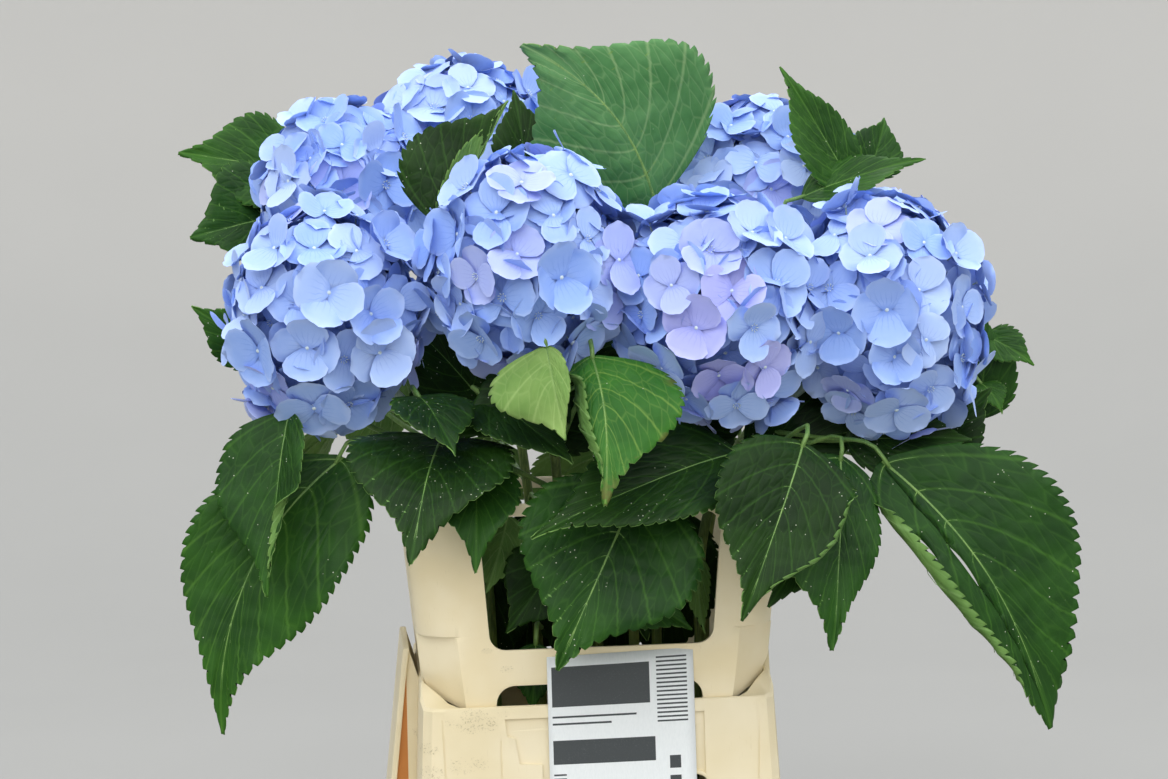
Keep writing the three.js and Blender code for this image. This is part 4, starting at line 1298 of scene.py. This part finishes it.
def bucket_shell():
    """The bucket's wall, rim and floor as one closed skin."""
    wall = BUCKET["wall"]
    corner = BUCKET["corner"]
    rim = BUCKET["height"]
    rings = []
    # The foot's edge is drawn in and rounded.
    for z, flare in FOOT_EDGE + [(z, 0) for z in np.linspace(16, rim - 2.2, 14)]:
        half = bucket_half(z) + flare
        rings.append(ear(rounded_ring(half, corner * half / bucket_half(0)), z))
    # The rim is rounded on both sides, and its inner side has the filled corners.
    for inset, drop in RIM_EDGE:
        rings.append(ear(rounded_ring(bucket_half(rim) - inset, corner - inset), rim - drop))
    inner = [(wall - inset, rim - drop) for inset, drop in RIM_EDGE[::-1]]
    for inset, z in inner + [(wall, rim - 2.5), (wall, GUSSET["foot"])]:
        rings.append(ear(rounded_ring(bucket_half(z) - inset, GUSSET["leg"], planed=True), z))
    for z in np.linspace(GUSSET["foot"] - 4, BUCKET["floor"], 10):
        rings.append(ear(rounded_ring(bucket_half(z) - wall, corner - wall), z))
    return loft("bucket_shell", rings, PLASTIC, closed=False)


def add_block(heap, outline, low_y, high_y):
    """A block pushed through along Y from an outline in x and z."""
    count = len(outline)
    points = [(x, y, z) for y in (low_y, high_y) for x, z in outline]
    faces = [(i + count, (i + 1) % count + count, (i + 1) % count, i) for i in range(count)]
    faces += [tuple(range(count)), tuple(range(2 * count - 1, count - 1, -1))]
    heap.add(points, faces)


def block(outline, low_y, high_y, name="cutter", skins=()):
    """One block as an object, to cut with or to keep."""
    heap = Heap()
    add_block(heap, outline, low_y, high_y)
    return outward(heap.build(name, skins, smooth=False))


def outward(piece):
    """Joins doubled points and turns all faces of a closed mesh to point out."""
    form = bmesh.new()
    form.from_mesh(piece.data)
    bmesh.ops.remove_doubles(form, verts=form.verts, dist=1e-6)
    bmesh.ops.recalc_face_normals(form, faces=form.faces)
    form.to_mesh(piece.data)
    form.free()
    return piece


def arc(centre, radius, start, end, steps=6):
    angles = np.radians(np.linspace(start, end, steps + 1))
    return [(centre[0] + radius * math.cos(a), centre[1] + radius * math.sin(a)) for a in angles]


def window_outline():
    w, r = WINDOW, WINDOW["corner"]
    outline = arc((w["half_low"] - r, w["low"] + r), r, -90, 0)
    outline += arc((w["half_high"] - r, w["high"] - r), r, 0, 90)
    outline += arc((-w["half_high"] + r, w["high"] - r), r, 90, 180)
    outline += arc((-w["half_low"] + r, w["low"] + r), r, 180, 270)
    return [(x + w["shift"], z) for x, z in outline]


def arch_outline():
    half, high, r = ARCH["half"], ARCH["high"], ARCH["corner"]
    outline = [(-half, COLLAR["foot"] - 6), (half, COLLAR["foot"] - 6)]
    return outline + arc((half - r, high - r), r, 0, 90) + arc((-half + r, high - r), r, 90, 180)


def combine(piece, operation, *tools):
    """Cuts closed meshes out of a piece, or joins them to it, and removes them."""
    for tool in tools:
        modifier = piece.modifiers.new("combine", "BOOLEAN")
        modifier.operation = operation
        modifier.solver = "EXACT"
        modifier.object = tool
        apply_modifiers(piece)
        bpy.data.objects.remove(tool)


def apply_modifiers(piece):
    depsgraph = bpy.context.evaluated_depsgraph_get()
    mesh = bpy.data.meshes.new_from_object(piece.evaluated_get(depsgraph), depsgraph=depsgraph)
    piece.modifiers.clear()
    old = piece.data
    piece.data = mesh
    bpy.data.meshes.remove(old)
    mesh.name = piece.name


def soften(piece, width_mm, angle=32):
    """Rounds the sharp edges, as a mould does, and smooths the shading between them."""
    modifier = piece.modifiers.new("edges", "BEVEL")
    modifier.width = width_mm * MM
    modifier.segments = 2
    modifier.limit_method = "ANGLE"
    modifier.angle_limit = math.radians(angle)
    modifier.use_clamp_overlap = True
    modifier.harden_normals = False
    apply_modifiers(piece)
    piece.data.polygons.foreach_set("use_smooth", [True] * len(piece.data.polygons))
    piece.data.set_sharp_from_angle(angle=math.radians(angle + 6))
    return piece


def front_cutter(outline, depth):
    """A block that cuts into the bucket's front to an even depth, though the wall leans."""
    tool = block(outline, -40, 0)
    for point in tool.data.vertices:
        point.co.y += (depth - bucket_half(point.co.z / MM)) * MM
    return tool


def recess_outline():
    right, foot = RECESS["right"], RECESS["foot"]
    return [(RECESS_STEPS[-1][0], foot), (right, foot), (right, RECESS_STEPS[0][1])] + RECESS_STEPS


def hole_rim():
    """The raised round lip of the front's hole: a ring whose section is a circle."""
    around = np.linspace(0, 2 * math.pi, 32, endpoint=False)
    rings = []
    for turn in np.linspace(0, 2 * math.pi, 8, endpoint=False):
        reach = HOLE["radius"] + HOLE["lip_out"] + HOLE["lip"] * math.cos(turn)
        x = HOLE["x"] + reach * np.cos(around)
        z = HOLE["z"] + reach * np.sin(around)
        y = HOLE["lip_sunk"] - bucket_half(z) - HOLE["lip"] * math.sin(turn)
        rings.append(np.column_stack([x, y, z]))
    return outward(loft("hole_rim", rings, PLASTIC))


def bucket():
    """The bucket with its recess, hole and grooves at the front and the ledge inside."""
    shell = bucket_shell()
    hole = arc((HOLE["x"], HOLE["z"]), HOLE["radius"], 0, 345, 23)
    combine(shell, "DIFFERENCE", front_cutter(recess_outline(), RECESS["depth"]), block(hole, -160, -100))
    for (high_x, high), (low_x, low) in GROOVES:
        outline = [(low_x - GROOVE_HALF, low), (low_x + GROOVE_HALF, low)]
        outline += [(high_x + GROOVE_HALF, high), (high_x - GROOVE_HALF, high)]
        combine(shell, "DIFFERENCE", front_cutter(outline, GROOVE_DEPTH))
    inner, top = LEDGE["half"], LEDGE["top"]
    foot = top - LEDGE["thick"]
    levels = [(bucket_half(foot) - 2, foot), (bucket_half(top) - 2, top), (inner, top), (inner, foot)]
    ledge = [with_height(rounded_ring(half, LEDGE["corner"]), z) for half, z in levels]
    combine(shell, "UNION", outward(loft("ledge", ledge, PLASTIC)), hole_rim())
    return soften(shell, ROUNDING["bucket"], angle=20)


def collar():
    """The collar: round corners above the crease, and flat corner panels below it."""
    foot, top, wall = COLLAR["foot"], COLLAR["top"], COLLAR["wall"]
    levels = list(np.linspace(foot, PANEL["crease"] - 0.6, 12)) + [PANEL["crease"] + 0.6]
    levels += list(np.linspace(PANEL["crease"] + 10, top - 1.2, 9))
    outer = [collar_ring(z, 0) for z in levels]
    rim = [collar_ring(top, 0.8), collar_ring(top, wall - 0.8)]
    inner = [collar_ring(z, wall) for z in levels[::-1]]
    piece = outward(loft("collar_shell", outer + rim + inner, COLLAR_PLASTIC))
    reach = 2 * COLLAR["half_top"]
    combine(piece, "DIFFERENCE", block(window_outline(), -reach, reach), block(arch_outline(), -reach, reach))
    return soften(piece, ROUNDING["collar"])


def collar_ring(z, inset):
    """One ring of the collar at a level; below the crease its corners are planed flat."""
    half = collar_half(z)
    if z > PANEL["crease"]:
        corner = COLLAR["corner"] * half / COLLAR["half_foot"]
        return with_height(rounded_ring(half - inset, corner - inset, 16), z)
    leg = PANEL["leg"] - (2 - math.sqrt(2)) * inset
    ring = rounded_ring(half - inset, leg, 16, planed=True)
    # The foot rises across each flat panel, from the front or back edge to the side edge.
    across = (np.abs(ring[:, 0]) - np.abs(ring[:, 1])) / (2 * leg) + 0.5
    slope = PANEL["step"] * ramp(across, -0.1, 0.1) + PANEL["rise"] * np.clip(across, 0, 1)
    slope = slope * (1 - ramp(across, 1.0, 1.5))
    low = 1 - ramp(z, COLLAR["foot"], COLLAR["foot"] + 50)
    return with_height(ring, z + slope * low)


def flap_reach(side, z):
    return mix(*FLAP_REACH[side], (z - FLAP["foot"]) / (FLAP["top"] - FLAP["foot"]))


def flap(side):
    """A guard flap that leans from a foot on the bucket's side to the collar, open at the slit."""
    f = FLAP
    sunk = bucket_half(f["foot"]) - BUCKET["wall"] / 2
    outline = [
        (sunk, f["foot"]),
        (flap_reach(side, f["foot"]), f["foot"]),
        (flap_reach(side, f["top"]), f["top"]),
        (flap_reach(side, f["top"]) - f["tip"], f["top"]),
        (flap_reach(side, f["slit_top"]) - f["wall"], f["slit_top"]),
        (flap_reach(side, f["slit_foot"]) - f["wall"], f["slit_foot"]),
        (sunk, f["slit_foot"]),
    ]
    outline = [(side * x, z) for x, z in outline]
    piece = block(outline, -f["half"], f["half"], "flap" + SIDE_NAMES[side], [PLASTIC])
    return soften(piece, ROUNDING["flap"])


def slit_web(side, name, outline, skin):
    """A web in the slit behind a flap, near its front and its back, from an outline in x and z."""
    heap = Heap()
    for y in (SLIT_WEB["inset"] - FLAP["half"], FLAP["half"] - SLIT_WEB["inset"]):
        add_block(heap, [(side * x, z) for x, z in outline], y - SLIT_WEB["half"], y + SLIT_WEB["half"])
    return outward(heap.build(name + SIDE_NAMES[side], [skin], smooth=False))


def card_frame():
    """The card's lower left corner, its way up and its way out, as it leans on the rim."""
    low = CARD["top"] - CARD["height"]
    foot = bucket_half(low) + GAP
    rim = BUCKET["half_rim"] + GAP
    lean = (foot - rim) / (BUCKET["height"] - low)
    up = unit((0, lean, 1))
    out = unit((0, -1, lean))
    return np.array([CARD["left"], -foot, low]), up, out


def on_card(x, y, out):
    """A point on the card: x from its left edge, y up from its foot; it bows a little from side to side,
    and its top is cut aslant."""
    corner, up, away = card_frame()
    bow = CARD_BOW * math.sin(math.pi * x / CARD["width"])
    y += CARD_SLANT["rise"] * (x / CARD["width"] - CARD_SLANT["pivot"]) * (y / CARD["height"]) ** 3
    return corner + np.array([x, 0, 0]) + up * y + away * (CARD["thick"] + out + bow)


def add_card_sheet(heap, xs, ys, front, back):
    """A sheet over a grid on the card, between two heights above its face, that bends with it."""
    skins = [np.array([on_card(x, y, out) for y in ys for x in xs]) for out in (front, back)]
    add_sheet(heap, *skins, grid_faces(len(ys), len(xs)))


def card():
    """The card as a thin sheet, fine enough to bend smoothly."""
    heap = Heap()
    xs = np.linspace(0, CARD["width"], 15)
    add_card_sheet(heap, xs, np.linspace(0, CARD["height"], 12), 0, CARD_BACK)
    return heap.build("price_card", [paper_material()])


def print_blocks():
    """Plain blocks and ruled lines on the card: left, foot, width and height of each."""
    height = CARD["height"]
    blocks = [(3, height - 37, 70, 29), (3, height - 78, 73, 17)]
    blocks += [(3, height - 45 - 5 * k, 60 - 18 * k, 1.4) for k in range(2)]
    blocks += [(3, height - 86 - 3 * k, 9, 1.2) for k in range(18)]
    blocks += [(78, height - 6 - 3 * k, 22, 1.2) for k in range(16)]
    blocks += [(86, height - 84 - 14 * k, 8, 9) for k in range(4)]
    heap = Heap()
    for left, foot, width, tall in blocks:
        xs = np.linspace(left, left + width, 7)
        add_card_sheet(heap, xs, np.linspace(foot, foot + tall, 3), *INK_SKINS)
    return heap.build("print_blocks", [ink_material()], smooth=False)


# Putting it together.


def hand_over(piece, slot, *nodes):
    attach(piece, "root")
    if nodes:
        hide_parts(*nodes)


def build_leaves(random):
    """All blades, one piece for each tint, with their veins and stalks as pieces of their own."""
    blades = {tint: Heap() for tint in LEAF_SKINS}
    veins = Heap()
    stalks = Heap()
    rooted = []
    for name in HEADS:
        line, end = stem_to(name)
        start = next(i for i, point in enumerate(line) if point[2] > SHOOT_START) / (len(line) - 1)
        rooted += [(spec, at_share(line, mix(start, end, spec["share"]))) for spec in LEAVES[name]]
    share, y, rise = INNER_ROOT
    for spec in INNER_LEAVES:
        x, _, z = spec["base"]
        rooted.append((spec, (x * share, y, z + rise)))
    for spec, root in rooted:
        blade = Blade(spec, random)
        add_blade(blades[spec["tint"]], blade)
        add_veins(veins, blade)
        add_stalk(stalks, root, blade)
    nodes = ["foliage_" + name for name in HEADS]
    for tint, heap in blades.items():
        piece = heap.build("leaf_blades_" + tint, [LEAF_SKINS[tint], LEAF_UNDER])
        hand_over(piece, "leaf", *nodes)
    hand_over(veins.build("leaf_veins", [VEIN_SKIN]), "leaf", *nodes)
    hand_over(stalks.build("leaf_stalks", [VEIN_SKIN]), "leaf", *nodes)


def build_stems():
    heap = Heap()
    for name in HEADS:
        add_stem(heap, name)
    hand_over(heap.build("stems", [STEM_SKIN]), "stem", *["stem_" + name for name in HEADS])


def build_heads(random):
    florets = floret_shapes(random)
    hearts = heart_shapes()
    tree = floret_tree()
    stalks = Heap()
    for name in HEADS:
        piece, found = blossom(name, tree, florets, hearts, random)
        hand_over(piece, "petal", "bloom_" + name)
        truss(stalks, name, found)
    hand_over(stalks.build("flower_stalks", [STALK_SKIN]), "petal", *["bloom_" + name for name in HEADS])
    for shapes in (florets, hearts):
        for shape in list(shapes.objects):
            bpy.data.objects.remove(shape)
        bpy.data.collections.remove(shapes)


def build_bucket():
    hand_over(bucket(), "bucket_plastic", "bucket")
    for side in (-1, 1):
        hand_over(flap(side), "bucket_plastic", "bucket")
        low, high, top = FLAP["slit_foot"] + 1, FLAP["slit_top"] - 1, FLAP["top"] - 2
        # Webs and ribs reach a little into the walls that they join.
        plate = [(flap_reach(side, z) - FLAP["wall"] + 1, z) for z in (low, high)]
        wall = [(bucket_half(z) - 1, z) for z in (high - 6, low)]
        rib = [(min(SLIT_RIB, plate[0][0] - 1), low), (plate[1][0] - 1, high)]
        leg = [(flap_reach(side, top) - 1, top), (flap_reach(side, top) - FLAP["tip"], top)]
        hand_over(slit_web(side, "slit_rib", rib + leg + wall, PLASTIC), "bucket_plastic", "bucket")
        # The amber webs paint the glow of light through the plastic in the slit.
        hand_over(slit_web(side, "slit_web", plate + rib[::-1], SLIT_GLOW_PAINT), "bucket_plastic", "bucket")
    hand_over(collar(), "collar_plastic", "collar")
    hand_over(card(), "card", "label_card")
    hand_over(print_blocks(), "card", "label_card")


def build_stage():
    """A pale floor that rises all round into a plain backdrop, four soft lights and an even sky."""
    flat, bend, level = 1500, 2500, -1
    steps, sides = 32, 64
    profile = [(1.0, level), (flat, level)]
    for angle in np.linspace(0, math.pi / 2, steps + 1)[1:]:
        profile.append((flat + bend * math.sin(angle), level + bend * (1 - math.cos(angle))))
    turns = np.arange(sides) * 2 * math.pi / sides
    points = [(reach * math.cos(t), reach * math.sin(t), z) for reach, z in profile for t in turns]
    heap = Heap()
    heap.add(points, grid_faces(len(profile), sides, closed=True) + [tuple(range(sides))])
    floor = heap.build("studio_floor", [floor_material()])
    floor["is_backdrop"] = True
    for name, (place, width, power) in LIGHTS.items():
        soft_light(name, place, width, power)
    world = bpy.data.worlds.new("studio_sky")
    world.use_nodes = True
    sky = world.node_tree.nodes["Background"]
    sky.inputs["Color"].default_value = linear(SKY_COLOUR)
    sky.inputs["Strength"].default_value = SKY_STRENGTH
    bpy.context.scene.world = world
    bpy.context.scene.view_settings.view_transform = "Standard"


def soft_light(name, place, size, power):
    light = bpy.data.lights.new(name, "AREA")
    light.size = size
    light.energy = power
    lamp = in_scene(name, light)
    lamp.location = place
    lamp.rotation_euler = (Vector(LIGHT_AIM) - Vector(place)).to_track_quat("-Z", "Y").to_euler()


def build_camera():
    """The photograph's own view: a little to the left of the bucket's front, and a little rolled."""
    width, height = IMAGE
    data = bpy.data.cameras.new("photo_camera")
    data.sensor_width = SENSOR
    data.lens = SENSOR * CAMERA["focal_px"] / width
    data.shift_y = (CAMERA["horizon_px"] - height / 2) / width
    data.clip_end = 100
    azimuth = math.radians(CAMERA["azimuth"])
    side = (width / 2 - CAMERA["axis_px"]) * CAMERA["distance"] / CAMERA["focal_px"]
    right = np.array([math.cos(azimuth), math.sin(azimuth)])
    ahead = np.array([-math.sin(azimuth), math.cos(azimuth)])
    place = right * side - ahead * CAMERA["distance"]
    camera = in_scene("photo_camera", data)
    camera.location = (place[0] * MM, place[1] * MM, CAMERA["height"] * MM)
    camera.rotation_euler = (math.pi / 2, math.radians(CAMERA_ROLL), azimuth)
    bpy.context.scene.camera = camera


build_camera()
build_stage()
build_bucket()
build_stems()
build_leaves(np.random.default_rng(SEED))
build_heads(np.random.default_rng(SEED + 1))

boxes = {"cad": CAD_BOX, "visual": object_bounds()}
{name: [list(map(float, corner)) for corner in box] for name, box in boxes.items()}
